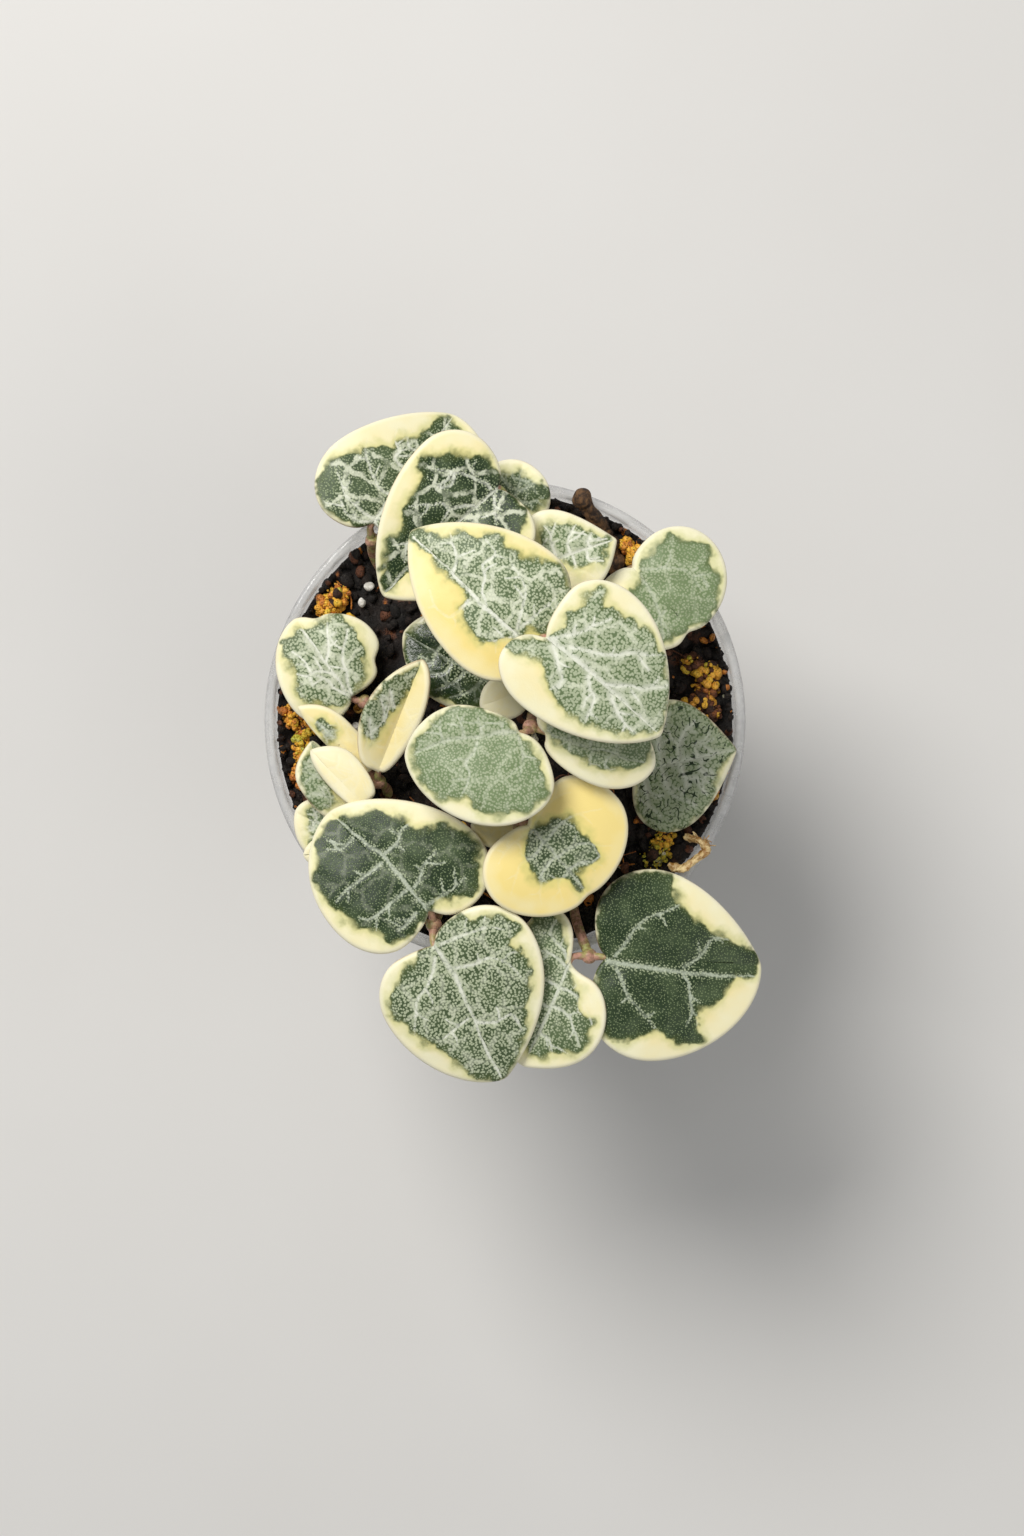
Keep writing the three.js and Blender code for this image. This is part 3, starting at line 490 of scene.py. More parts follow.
MARKINGS = {
    "backLeft": {
        "tone": (0.8, 0.35, 0.15), "rivers": 0.8,
        "green": [(-2.1, 3), (-2, 5.2), (-1, 7), (0.8, 7.9), (3, 7.9), (4.5, 7.2), (5.6, 6), (7.4, 5),
            (8, 3.6), (9.8, 3), (11, 2), (13, 1.6), (15, 0.9), (15.6, 0), (13, -4), (8, -7), (2, -6),
            (-0.5, -1)],
    },
    "backOver": {
        "tone": (1, 0.15, 0.35), "rivers": 0.8,
        "green": [(-1.2, -1.1), (-1.7, -2.5), (-1.5, -3.9), (0.4, -5.2), (1.3, -6.6), (2.6, -7.5), (4, -8.6),
            (4.7, -7.7), (5.4, -6.4), (7.6, -6.1), (9, -5.7), (10.8, -4.1), (12.6, -4.3), (14.5, -2.9),
            (16.3, -1.6), (17.2, -0.2), (16.3, 0.5), (14, 0), (13, 1.5), (9, 5), (4, 6), (0, 5), (-1, 3)],
        "veins": [
            [(0, 0), (3, -0.2), (6, -0.3), (11, -0.6), (17, -0.3)],
            [(0.5, -0.6), (1.2, -2.6), (2.6, -4.9), (3.8, -6.6)],
            [(3.2, -0.6), (5, -2), (7.2, -4.6), (8.6, -5.4)],
            [(2.4, -4.6), (4, -4), (5.2, -4.7)],
            [(0.8, 0.5), (2, 1.8), (2.8, 3)],
            [(9, -0.6), (10.6, -2), (12.6, -3.4)],
        ],
    },
    "backLow": {
        "tone": (0.85, 0.15, 0.1), "veining": 0.6,
        "green": [(1.5, 2.6), (3.8, 2.7), (4.5, 1), (4.2, -0.8), (3.6, -2.4), (3.4, -3.6), (2, -3.4),
            (0.5, -1.8)],
    },
    "crownLeft": {
        "tone": (0.5, 0.66, 0.7), "rivers": 0.8, "veining": 1.1,
        "green": [(-0.3, 0.6), (1, 1.4), (1.9, 3), (3.7, 3.4), (5.8, 3.2), (6.7, 2.3), (6.9, 1.1), (9.6, 0.9),
            (12.8, 0.6), (16, 0.6), (16.8, 0), (16, -1.1), (14.2, -2), (13, -3.2), (12.4, -4.1), (11.5, -4.3),
            (10.1, -5.7), (9.2, -6.4), (6.9, -6.4), (5.1, -6.8), (2.8, -8.6), (1, -8.6), (-0.6, -7.5),
            (-2, -4.8), (-1.7, -2.5), (-0.4, -1.1)],
        "veins": [
            [(0, 0), (3.5, 0.4), (8, 0.3), (11, 0.1), (16, 0.3)],
            [(0.3, 0.4), (1.2, 2), (2.2, 3)],
            [(6.6, 1.2), (7, 3.6), (9, 4), (10.5, 3.2)],
            [(5, 0), (6.5, -1), (7.9, -2.9), (8.2, -4.4), (10, -5)],
            [(0.8, -0.5), (1.9, -2), (2.4, -3.5), (4.6, -4.6), (6.6, -5.4)],
            [(0.6, -0.8), (0.3, -3), (0, -6)],
            [(10, 0), (11, -1.6), (12.6, -2.6), (13.3, -3)],
        ],
    },
    "crownRight": {
        "tone": (0.35, 0.92, 0.12), "rivers": 0.65, "veining": 0.85,
        "green": [(0.3, 6.6), (1.2, 8.2), (2.4, 7), (4, 7.2), (6, 7.8), (8, 7.9), (10.5, 7), (12.4, 5.9),
            (14, 4.3), (15.3, 2.5), (16, 0.4), (14.9, -0.9), (13, -2.5), (11, -3.4), (9.2, -4.3), (6.9, -4.8),
            (4.6, -4.3), (2.4, -3.2), (0.5, -2.5), (-2.4, -3.6), (-2.9, -2.4), (-0.2, -0.6), (0.5, 2),
            (0.1, 4.3)],
        "veins": [
            [(0, 0.2), (4, 0.4), (8, 0.3), (12, 0.1), (16.4, 0)],
            [(0.5, 0.5), (2.5, 3.2), (3.6, 5.2), (3.9, 6.2)],
            [(2.5, 1), (6, 3), (8, 4.6), (9.8, 6.2), (11, 7)],
            [(8, 0.4), (10, 2), (12, 3.2), (13.4, 5)],
            [(1, -0.2), (2.8, -1.4), (3.9, -2.6), (4.4, -3.9)],
            [(6, -0.2), (8, -1.6), (8.6, -3), (9, -4.6)],
            [(9, 0), (11, -1.2), (12.6, -1.6), (14.5, -1.6)],
        ],
    },
    "crownInner": {
        "tone": (0.4, 0.6, 0.3),
        "green": [(0, 1.6), (2.5, 1.7), (4.4, 0), (2.5, -1.6), (0, -1.5)],
    },
    "farRight": {
        "tone": (0.12, 0.5, 0.05), "veining": 0.4,
        "green": [(-0.1, 1.4), (0.1, 3.3), (-0.1, 5.4), (1.7, 6.6), (3.4, 7.9), (5.1, 7.7), (5.9, 6.8),
            (7.8, 6.4), (8.7, 4.9), (9.7, 3.7), (9.9, 2.4), (9.7, 1.2), (9.1, -0.1), (9.1, -1.8), (8, -4.5),
            (5, -5.5), (2.5, -4), (1.8, -2), (1, -0.2)],
        "veins": [
            [(0, 0), (4, -0.6), (6, -1.6), (8, -3)],
            [(0.4, 0.3), (1.6, 1.6), (3.2, 3.2), (5, 4.2), (7.2, 4)],
            [(6, -0.9), (6.2, -3.2)],
            [(5.2, 4.2), (6.4, 5.8)],
        ],
    },
    "underCrown": {
        "tone": (0.3, 0.8, 0.1),
        "green": [(1.2, 2.4), (2.1, 4.1), (3.3, 4.1), (4.6, 3.7), (6.1, 2.4), (7.5, 1.2), (8.6, 0.1),
            (7.7, -0.7), (7.1, -2), (5.4, -1.8), (4.2, -2), (3.3, -0.9), (1.7, 0.3)],
    },
    "darkGloss": {
        "tone": (1, 0.25, 0.1), "veining": 0.6, "gloss": 1,
        "green": [(-0.5, 3.5), (3, 4.3), (7, 4.2), (9.5, 2.5), (10.8, 0.5), (10.3, -1), (9, -2.5), (5, -4),
            (0, -3.5)],
    },
    "tornCream": {"tone": (0.2, 0.3, 0.1), "green": []},
    "leftRound": {
        "tone": (0.5, 0.85, 0.2), "rivers": 0.7,
        "green": [(0, 1.8), (1, 3.5), (2.3, 4.5), (4.2, 4.5), (5.6, 3.9), (7.7, 3.7), (9, 3.5), (9.6, 2.2),
            (9.6, 0.8), (9.2, -0.7), (9, -2.4), (8.6, -4.1), (6.1, -4.7), (4, -4.5), (2.3, -3.4), (0.6, -2.4),
            (0, -0.3)],
        "veins": [
            [(0, 0), (3.5, 0.1), (7, 0.2), (9.6, 0.3)],
            [(0.5, 0.3), (2, 1), (5, 1.8), (8, 2.6)],
            [(0.3, -0.3), (2.6, -1.2), (5, -2.6), (6.5, -4)],
            [(3, 0.2), (4.5, 1.6), (5.6, 3.6)],
            [(5, 0), (6.6, -1.6), (8.4, -2.6)],
        ],
    },
    "leftFolded": {
        "tone": (0.6, 0.9, 0.5), "veining": 0.8,
        "green": [(3.2, 2.2), (4.1, 3.6), (5.1, 4.5), (7.2, 4.9), (8.9, 4.1), (11, 2.6), (12.2, 1.6),
            (13.3, 0.1), (10.1, 0.5), (8, 1.1), (5.9, 1.8), (4.3, 1.6)],
    },
    "leftCream": {
        "tone": (0.6, 0.4, 0.6),
        "green": [(5.8, 0.3), (6.8, 0.6), (8, 0.2), (8, -0.8), (6.6, -1.2), (5.7, -0.6)],
    },
    "leftBud": {
        "tone": (0.4, 0.8, 0.2), "veining": 0.3,
        "green": [(0.8, 2.3), (1.7, 3.4), (3.3, 3.6), (5.4, 3.4), (6.7, 2.3), (7.5, 1.1), (8.2, -0.6),
            (7.1, -0.6), (5.4, 0.2), (2.5, 1.1), (1, 1.1)],
    },
    "leftBudPair": {"tone": (0.2, 0.2, 0.3), "green": []},
    "edgeTip": {"tone": (0.3, 0.5, 0.5), "green": [(0, 0.8), (2.4, 1), (2.6, 0), (2.2, -1), (0, -0.8)]},
    "edgeLeft": {
        "tone": (0.4, 0.5, 0.2),
        "green": [(-0.5, 1), (2, 2.6), (4, 2.2), (5.2, 0.4), (5.8, -1.2), (5, -2.2), (2, -2.4), (0, -1.6)],
    },
    "frontLeft": {
        "tone": (1, 0.12, 0.2), "rivers": 0.12,
        "green": [(-0.6, 3.8), (0.3, 5.6), (2.4, 6), (4.2, 7), (5.8, 7.4), (7.4, 7.2), (9.6, 7.2),
            (11.7, 6.3), (12, 5.6), (14.2, 3.8), (14.9, 2), (14.9, 0.6), (13.9, -1.4), (12.8, -2.6),
            (12.1, -3.5), (11.2, -4.6), (9.6, -5.1), (8.7, -5.5), (6.9, -6), (5.8, -7.6), (4.6, -8.5),
            (2.4, -9.4), (0.5, -8.9), (-1.3, -6.7), (-2.4, -5.3), (-1.7, -3.5), (-0.4, -1.2)],
        "veins": [
            [(0, 0), (3, -0.3), (7.2, -0.9), (9.8, -0.6), (14.5, -0.2)],
            [(3.2, 0.1), (3.5, 3.6), (3.8, 5.1), (4.8, 6)],
            [(7.3, -0.2), (7.8, 2.5), (8.2, 4.2), (7.9, 6.5)],
            [(0.7, 1.3), (0.85, 4.2)],
            [(11.6, 0.1), (11.7, 1.9), (12.8, 3.1)],
            [(0.4, -0.5), (-0.2, -3.1), (-0.5, -5.5)],
            [(2.8, -0.8), (3.6, -3.7), (3.9, -5.5)],
            [(7.8, -0.9), (7.9, -3.1), (8.1, -5.5)],
        ],
    },
    "middle": {
        "tone": (0.12, 0.6, 0.05), "veining": 0.4,
        "green": [(-1.4, 7.2), (-0.7, 8), (1.1, 8.5), (3.4, 8.5), (6.1, 7.8), (6.6, 6.5), (8.4, 5.6),
            (10.2, 5.6), (11.4, 4.4), (12, 3.1), (12.3, 0.3), (12, -1.5), (10.7, -2.4), (8.9, -3.7),
            (6.6, -4.3), (4.3, -4), (2, -2.4), (0.7, -0.6), (-0.2, 0.8), (-1.6, 3.1)],
        "veins": [
            [(0, -0.2), (4, -0.6), (8, -0.8), (12, -0.2)],
            [(0.5, 0.2), (0.6, 3.4), (1.4, 4), (2.6, 4.6)],
            [(5, 0), (6.5, 2), (7, 4.5), (7.8, 5.5)],
            [(2, -0.3), (2.1, -2.2)],
            [(4.3, -0.6), (4.4, -2.8)],
            [(6.5, -0.8), (6.6, -3.2)],
            [(8.6, -0.6), (8.5, -3)],
        ],
    },
    "middleRight": {
        "tone": (0.35, 0.5, 0.1), "veining": 0.5,
        "green": [(0.6, 0.3), (3.1, -1.4), (6.1, -1.8), (8.6, -1.6), (10.7, -0.8), (11.9, 0.3), (12.1, 1.9),
            (9, 3.5), (4, 3.6), (0, 2.5)],
    },
    "soilRight": {
        "tone": (0.35, 1, 0.05), "rivers": 0, "veining": 0.35, "worms": 1,
        "green": [(-1, 5), (1, 7), (5, 7.3), (8.4, 5.2), (11.3, 0.6), (10.6, -0.8), (9, -2), (8.4, -3.2),
            (7.6, -5), (6.4, -6), (3, -7.5), (0, -6.8), (-1.4, -3.5), (-0.5, -0.5)],
    },
    "frontCream": {
        "tone": (0.85, 0.45, 0.8), "veining": 0.6,
        "green": [(0.6, 1.7), (1.2, 2.9), (2.3, 4), (4.2, 4.4), (5.9, 4.2), (7.5, 4), (7.7, 2.5), (7.7, 0.8),
            (9.4, 0.4), (9.4, -0.6), (7.5, -0.8), (6.5, -1.7), (5.9, -2.9), (4.6, -3.4), (2.7, -2.9),
            (1, -1.3), (0.2, 0.4)],
    },
    "sliver": {"tone": (0.3, 0.3, 0.6), "green": []},
    "frontRight": {
        "tone": (1, 0.12, 0.15),
        "green": [(-1.5, 3.6), (-1.5, 6.3), (-0.1, 8.3), (1.7, 9.5), (4.5, 9.7), (6.7, 9.5), (7.3, 7.7),
            (8.1, 6.3), (9.9, 4.9), (11.5, 3.8), (13.5, 2.9), (15.4, 2.4), (16.7, 1.3), (17.6, -0.1),
            (17.2, -1.4), (14.9, -1.7), (13.5, -3.2), (12.6, -5), (10.4, -5.8), (11, -7.8), (11.3, -8.9),
            (9, -9.4), (7.2, -8.9), (5.4, -8.2), (3.5, -8.9), (1.7, -9.4), (0.1, -8.7), (-0.8, -6.4),
            (-1.3, -3)],
        "veins": [
            [(0.1, -0.5), (3.1, -0.8), (6.3, -1.1), (9.2, -1.4), (12.5, -1.55), (17.2, -1.55)],
            [(0.7, 0.2), (2.2, 2.3), (3.9, 4.2), (7.8, 6.4)],
            [(8.6, -0.7), (10.7, 1.1), (11.9, 2.6), (13.6, 2.7)],
            [(1, -1.3), (2.2, -3.6), (3.6, -5.7), (6.3, -8.3)],
            [(8.6, -1.8), (9.4, -3.6), (9.8, -5.4), (10.4, -7.4)],
        ],
    },
    "frontUnder": {
        "tone": (0.6, 0.45, 0.15),
        "green": [(1.5, 0.6), (2.6, 1.9), (2.6, 2.7), (4.5, 3.2), (4.9, 5.3), (6.6, 5.6), (9.3, 5.5),
            (9.9, 3.2), (11.6, 1.9), (11.7, 0.9), (11, -1), (8, -3), (3, -4.6), (-1, -5.8), (-3.4, -5.6),
            (-4.2, -4.4), (-3.6, -2.8), (-1.6, -1.6), (0, -0.5)],
    },
    "frontMiddle": {
        "tone": (0.75, 0.65, 0.1), "rivers": 0.4,
        "green": [(-2, 3), (-0.9, 5.3), (0.2, 8), (1.6, 9.6), (2.7, 9.6), (3, 8.5), (3.9, 8), (5.2, 8.7),
            (8.9, 7.6), (11.1, 5.7), (13, 5), (14.5, 3.5), (15.7, 2.3), (16.8, 1.2), (17.5, -0.2),
            (16.1, -2.4), (14.8, -3.6), (12.5, -4.3), (10.5, -4.7), (8.9, -6.3), (7, -6.8), (5, -7.9),
            (3.4, -7.7), (1.6, -5.6), (0.5, -3.4)],
        "veins": [
            [(0, 0), (2, 0.5), (6, 0.5), (8.7, 0.2), (11.6, -0.25), (16.9, -0.5)],
            [(3.1, 0.6), (3.5, 3), (3.7, 4.75), (4.6, 6.1), (7.5, 7.1)],
            [(0.15, 0.8), (0.3, 3.6), (0.4, 5.6), (1.9, 8)],
            [(9.85, 0.3), (10.4, 2.1), (10.7, 3.9), (12.8, 4.3)],
            [(1.2, -0.5), (3.1, -2.3), (4.6, -4.4), (8.1, -6.7)],
            [(9, -0.5), (9.1, -2.3), (9.7, -4.1)],
        ],
    },
}

FAR_FROM_GREEN = -9.0
FAR_FROM_VEIN = 12
VEIN_STEP = 0.4
WANDER_STEP = 1.3
WANDER = 0.16
MIDRIB_WIDTHS = (0.26, 0.11)
LATERAL_WIDTHS = (0.17, 0.09)
TWIG_WIDTHS = (0.12, 0.07)
TWIG_PLACES = (0.4, 0.72)
TWIG_LENGTHS = (1, 2.2)
TWIG_ANGLES = (45, 75)
# Plan of a blade's side veins: where each leaves the midrib, as a share of its length, and the way it heads
LATERAL_PLAN = ((0.02, 118), (0.05, 84), (0.24, 66), (0.44, 56), (0.63, 48))
LATERAL_REACH = 0.78
PLAN_SHIFT = 0.03
PLAN_TURN = 9
MIDRIB_BEND = 0.03
GREEN_STEP = 0.5


def cubic(a, b, c, d, t):
    s = 1 - t
    return [s * s * s * a[i] + 3 * s * s * t * b[i] + 3 * s * t * t * c[i] + t * t * t * d[i] for i in (0, 1)]


def half_outline(blade, side, steps):
    wide, at, back = side["wide"], side["at"], side["back"]
    length = blade["length"]
    lobe_across = side["lobe"] * wide
    tip = math.radians(side["tip"])
    full = side["full"]
    lobe = (-back, lobe_across)
    flank = (at, wide)
    curves = [
        ((0, 0), (-NOTCH_BACK * back, NOTCH_ACROSS * lobe_across), (-back, NOTCH_END * lobe_across), lobe),
        (lobe, (-back, lobe_across + side["round"] * (wide - lobe_across)),
         (at - side["round"] * (at + back), wide), flank),
        (flank, (at + full * (length - at), wide),
         (length - full * wide * math.cos(tip), full * wide * math.sin(tip)), (length, 0)),
    ]
    return [cubic(*curve, step / count) for curve, count in zip(curves, steps) for step in range(count)]


def leaf_outline(name):
    """The whole outline from the notch round the left half to the tip and back."""
    blade = LEAVES[name]
    steps = OUTLINE_STEPS if blade["length"] > SMALL_LEAF else SMALL_OUTLINE_STEPS
    left = half_outline(blade, blade["left"], steps)
    right = [(x, -y) for x, y in half_outline(blade, blade["right"], steps)][:0:-1]
    outline = np.array(left + [(blade["length"], 0)] + right)
    centre = np.array([BLADE_MIDDLE * blade["length"], 0])
    out = outline - centre
    reach = np.linalg.norm(out, axis=1)
    angle = np.degrees(np.arctan2(out[:, 1], out[:, 0]))
    for at, depth, spread in DENTS.get(name, []):
        apart = (angle - at + 180) % 360 - 180
        reach_new = reach - depth * np.exp(-(apart / spread) ** 2)
        out *= (reach_new / reach)[:, None]
        reach = reach_new
    for _ in range(SOFTENING_ROUNDS):
        out = 0.25 * np.roll(out, 1, axis=0) + 0.5 * out + 0.25 * np.roll(out, -1, axis=0)
    return centre, centre + out


def line_distance(points, line, closed=False):
    """How far each point is from the line, and how far along it the nearest place is, from 0 to 1."""
    line = np.asarray(line, float)
    starts = line if closed else line[:-1]
    ends = np.roll(line, -1, axis=0) if closed else line[1:]
    way = ends - starts
    size = np.maximum((way ** 2).sum(1), 1e-9)
    offset = points[:, None, :] - starts[None, :, :]
    share = np.clip((offset * way[None]).sum(2) / size[None], 0, 1)
    apart = np.linalg.norm(offset - share[..., None] * way[None], axis=2)
    nearest = apart.argmin(1)
    rows = np.arange(len(points))
    return apart[rows, nearest], (nearest + share[rows, nearest]) / len(starts)


def inside(points, ring):
    """Which points lie inside the closed ring."""
    x, y = points[:, 0][:, None], points[:, 1][:, None]
    x1, y1 = ring[:, 0][None], ring[:, 1][None]
    x2, y2 = np.roll(ring[:, 0], -1)[None], np.roll(ring[:, 1], -1)[None]
    spans = (y1 > y) != (y2 > y)
    rise = np.where(y2 == y1, 1e-9, y2 - y1)
    crossing = spans & (x < (x2 - x1) * (y - y1) / rise + x1)
    return crossing.sum(1) % 2 == 1


def planned_veins(name, centre, outline):
    """Side veins that leave the midrib on both sides, and curve towards the tip."""
    blade = LEAVES[name]
    source = np.random.default_rng(seed_of(name))
    length = blade["length"]
    bend = source.uniform(-MIDRIB_BEND, MIDRIB_BEND) * length
    veins = [[(0, 0), (0.35 * length, bend), (0.7 * length, bend * 0.6), (0.97 * length, 0)]]
    rel = outline - centre
    angles = np.degrees(np.arctan2(rel[:, 1], rel[:, 0])) % 360
    order = np.argsort(angles)
    reach = np.linalg.norm(rel, axis=1)
    for hand in (1, -1):
        for start, heading in LATERAL_PLAN:
            along = (start + source.uniform(-PLAN_SHIFT, PLAN_SHIFT)) * length
            way = math.radians(heading + source.uniform(-PLAN_TURN, PLAN_TURN))
            root = np.array([along, hand * 0.1])
            target_angle = math.degrees(math.atan2(hand * math.sin(way), math.cos(way)
                                                   + (along - centre[0]) / (0.5 * length))) % 360
            far = np.interp(target_angle, angles[order], reach[order], period=360) * LATERAL_REACH
            aim = math.radians(target_angle)
            end = centre + far * np.array([math.cos(aim), math.sin(aim)])
            bulge = np.array([-0.07 * length, hand * 0.02 * length])
            veins.append([tuple(root), tuple(0.55 * root + 0.45 * end + bulge), tuple(end)])
    return veins


def vein_field(name, points, centre, outline):
    """Distance to the nearest vein over that vein's half-width, at each point, with twigs and without."""
    veins = MARKINGS[name].get("veins") or planned_veins(name, centre, outline)
    source = np.random.default_rng(seed_of(name) + 5)
    field = np.full(len(points), 99.0)
    bare = field.copy()
    for rank, vein in enumerate(veins):
        line = spline(vein, WANDER_STEP)
        line[1:-1] += source.normal(scale=WANDER * (0.5 if rank == 0 else 1), size=line[1:-1].shape)
        line = spline(line, VEIN_STEP)
        wide, narrow = MIDRIB_WIDTHS if rank == 0 else LATERAL_WIDTHS
        apart, along = line_distance(points, line)
        bare = np.minimum(bare, apart / (wide + (narrow - wide) * along))
        if rank == 0:
            continue
        for share in TWIG_PLACES:
            at = line[int(share * (len(line) - 1))]
            way = unit(np.gradient(line, axis=0)[int(share * (len(line) - 1))])
            turn = math.radians(source.uniform(*TWIG_ANGLES) * source.choice([-1, 1]))
            size = source.uniform(*TWIG_LENGTHS)
            tip = at + turned(turn) @ way * size
            twig = spline([at, (at + tip) / 2 + source.normal(scale=0.15, size=2), tip], VEIN_STEP)
            apart, along = line_distance(points, twig)
            wide_twig, narrow_twig = TWIG_WIDTHS
            field = np.minimum(field, apart / (wide_twig + (narrow_twig - wide_twig) * along))
    return np.minimum(np.minimum(field, bare), FAR_FROM_VEIN), bare


def green_field(name, points):
    """Signed distance to the edge of the green area: above 0 inside it."""
    ring = MARKINGS[name]["green"]
    if not ring:
        return np.full(len(points), FAR_FROM_GREEN)
    ring = spline(ring, GREEN_STEP, closed=True)
    apart, _ = line_distance(points, ring, closed=True)
    return np.maximum(FAR_FROM_GREEN, np.where(inside(points, ring), apart, -apart))


def bow(start, turn, distance):
    """A strip that leaves at a slope and turns steadily: how far it has run and risen."""
    end = start + turn * distance
    straight = np.abs(turn) < 1e-6
    safe = np.where(straight, 1, turn)
    run = np.where(straight, distance * np.cos(start), (np.sin(end) - np.sin(start)) / safe)
    rise = np.where(straight, distance * np.sin(start), (np.cos(start) - np.cos(end)) / safe)
    return run, rise


def blade_points(blade, flat, lift):
    """Points of the bent blade in the leaf's own frame: x along the midrib, y to the left, z up."""
    along, across = flat[:, 0], flat[:, 1]
    hand = np.sign(across)
    left, right = blade["left"], blade["right"]
    of_half = {key: np.where(across >= 0, left[key], right[key]) for key in ("wide", "fold", "curl")}
    reach = np.abs(across)
    slope = np.radians(of_half["fold"])
    turn = np.radians(of_half["curl"]) / of_half["wide"]
    out, rise = bow(slope, turn, reach)
    tilt = np.where(hand == 0, 0, slope + turn * reach)
    y = hand * (out - lift * np.sin(tilt))
    length = blade["length"]
    swing = np.sin(WAVE_SPAN * along / length + blade["heading"])
    height = rise + blade["ripple"] * (reach / of_half["wide"]) ** 2 * swing + lift * np.cos(tilt)
    arch = math.radians(blade["arch"]) / length
    start = arch * BLADE_MIDDLE * length
    ahead, up = bow(start, -arch, along)
    lean = start - arch * along
    return np.stack([ahead - height * np.sin(lean), y, up + height * np.cos(lean)], axis=1)


def leaf_matrix(blade):
    turn = (Matrix.Rotation(math.radians(blade["heading"]), 4, "Z")
            @ Matrix.Rotation(-math.radians(blade["pitch"]), 4, "Y")
            @ Matrix.Rotation(math.radians(blade["roll"]), 4, "X"))
    return np.array(Matrix.Translation(Vector(blade["at"])) @ turn)


def moved(points, matrix):
    return points @ matrix[:3, :3].T + matrix[:3, 3]


def half_thickness(edge):
    """A rounded fleshy margin, and a slow rise towards the middle."""
    share = np.clip(edge / MARGIN_ROUND, 0, 1)
    rise = smoothstep(edge, 0, MIDDLE_RISE) * (MIDDLE_HALF - MARGIN_HALF)
    return MARGIN_HALF * np.sqrt(1 - (1 - share) ** 2) + rise


def ring_flats(centre, outline, inner_rings):
    """Flat points of one face of a blade: rings from the margin inwards, and last the middle."""
    out = outline - centre
    reach = np.linalg.norm(out, axis=1)
    shares = [1 - depth / reach for depth in MARGIN_DEPTHS]
    shares += [shares[-1] * (1 - step / inner_rings) for step in range(1, inner_rings)]
    return np.concatenate([centre + out * share[:, None] for share in shares] + [centre[None]])


def blade_face(name, centre, outline, face, inner_rings):
    """The upper face, 1, or the lower, -1: flat points, their distances to edge and vein, and bent points."""
    flat = ring_flats(centre, outline, inner_rings)
    edge, _ = line_distance(flat, outline, closed=True)
    vein, bare = vein_field(name, flat, centre, outline)
    lift = half_thickness(edge)
    if face > 0:
        greenness = smoothstep(green_field(name, flat), *GREEN_BLEND)
        relief = smoothstep(edge, *RELIEF_FADE) * (CREAM_RELIEF + (1 - CREAM_RELIEF) * greenness)
        groove = VEIN_DEPTH * np.exp(-GROOVE_FALL * bare ** 2)
        lift += relief * (QUILT * waves(flat, QUILT_SCALE, seed_of(name)) - groove)
    return flat, edge, vein, blade_points(LEAVES[name], flat, face * lift)


def ring_faces(count, first, rings):
    """Faces from the outline, at 0, through the rings that begin at first, to the middle after them."""
    faces = []
    starts = [0] + [first + ring * count for ring in range(rings)]
    for a, b in zip(starts, starts[1:]):
        for i in range(count):
            j = (i + 1) % count
            faces.append((a + j, a + i, b + i, b + j))
    last = starts[-1]
    for i in range(count):
        faces.append((last + (i + 1) % count, last + i, first + rings * count))
    return faces


def blade_shell(pile, name):
    """One closed blade: an upper and a lower face that share the outline."""
    blade = LEAVES[name]
    marks = MARKINGS[name]
    centre, outline = leaf_outline(name)
    count = len(outline)
    zeros = np.zeros(count)
    rim_vein, _ = vein_field(name, outline, centre, outline)
    rows = [(outline, zeros, rim_vein, blade_points(blade, outline, zeros), zeros + 0.5)]
    faces = []
    first = count
    ring_counts = BLADE_RINGS if blade["length"] > SMALL_LEAF else SMALL_BLADE_RINGS
    for face, inner_rings in zip((1, -1), ring_counts):
        row = blade_face(name, centre, outline, face, inner_rings)
        size = len(row[0])
        rows.append((*row, np.full(size, 0 if face > 0 else 1)))
        side = ring_faces(count, first, (size - 1) // count)
        faces += side if face > 0 else [corners[::-1] for corners in side]
        first += size
    flat, edge, vein, points, under = [np.concatenate(column) for column in zip(*rows)]
    x_shift, y_shift, layer = np.array(PATTERN_SHIFT) * seed_of(name)
    own_place = np.concatenate([flat + (x_shift, y_shift), np.full((len(flat), 1), layer)], axis=1)
    tone = marks["tone"]
    pile.add(moved(points, leaf_matrix(blade)), faces, flat=own_place, edge=edge, vein=vein,
             green=green_field(name, flat), tone=tone, under=under,
             kind=[marks.get(key, usual) for key, usual in USUAL_KIND.items()],
             rivers=marks.get("rivers", USUAL_RIVERS * tone[1] ** 2))


def petiole_shell(pile, joint, name):
    blade = LEAVES[name]
    ends = []
    for along, lift in (PETIOLE_LEAVES, PETIOLE_MEETS):
        flat = np.array([[along * blade["length"], 0]])
        point = blade_points(blade, flat, np.array([lift * 2 * MIDDLE_HALF]))
        ends.append(moved(point, leaf_matrix(blade))[0])
    line = spline([joint] + ends, PETIOLE_STEP)
    share = np.linspace(0, 1, len(line))
    radii = PETIOLE_RADIUS * (PETIOLE_ENDS - PETIOLE_WAIST * np.sin(share * math.pi))
    add_stalk(pile, *tube(line, radii, STEM_SIDES), brown=0.35)


def add_stalk(pile, verts, faces, brown):
    pile.add(verts, faces, flat=verts, edge=2, vein=FAR_FROM_VEIN, green=FAR_FROM_GREEN, tone=(brown, 0, 0),
             under=2, kind=(0, 0, 0), rivers=0)


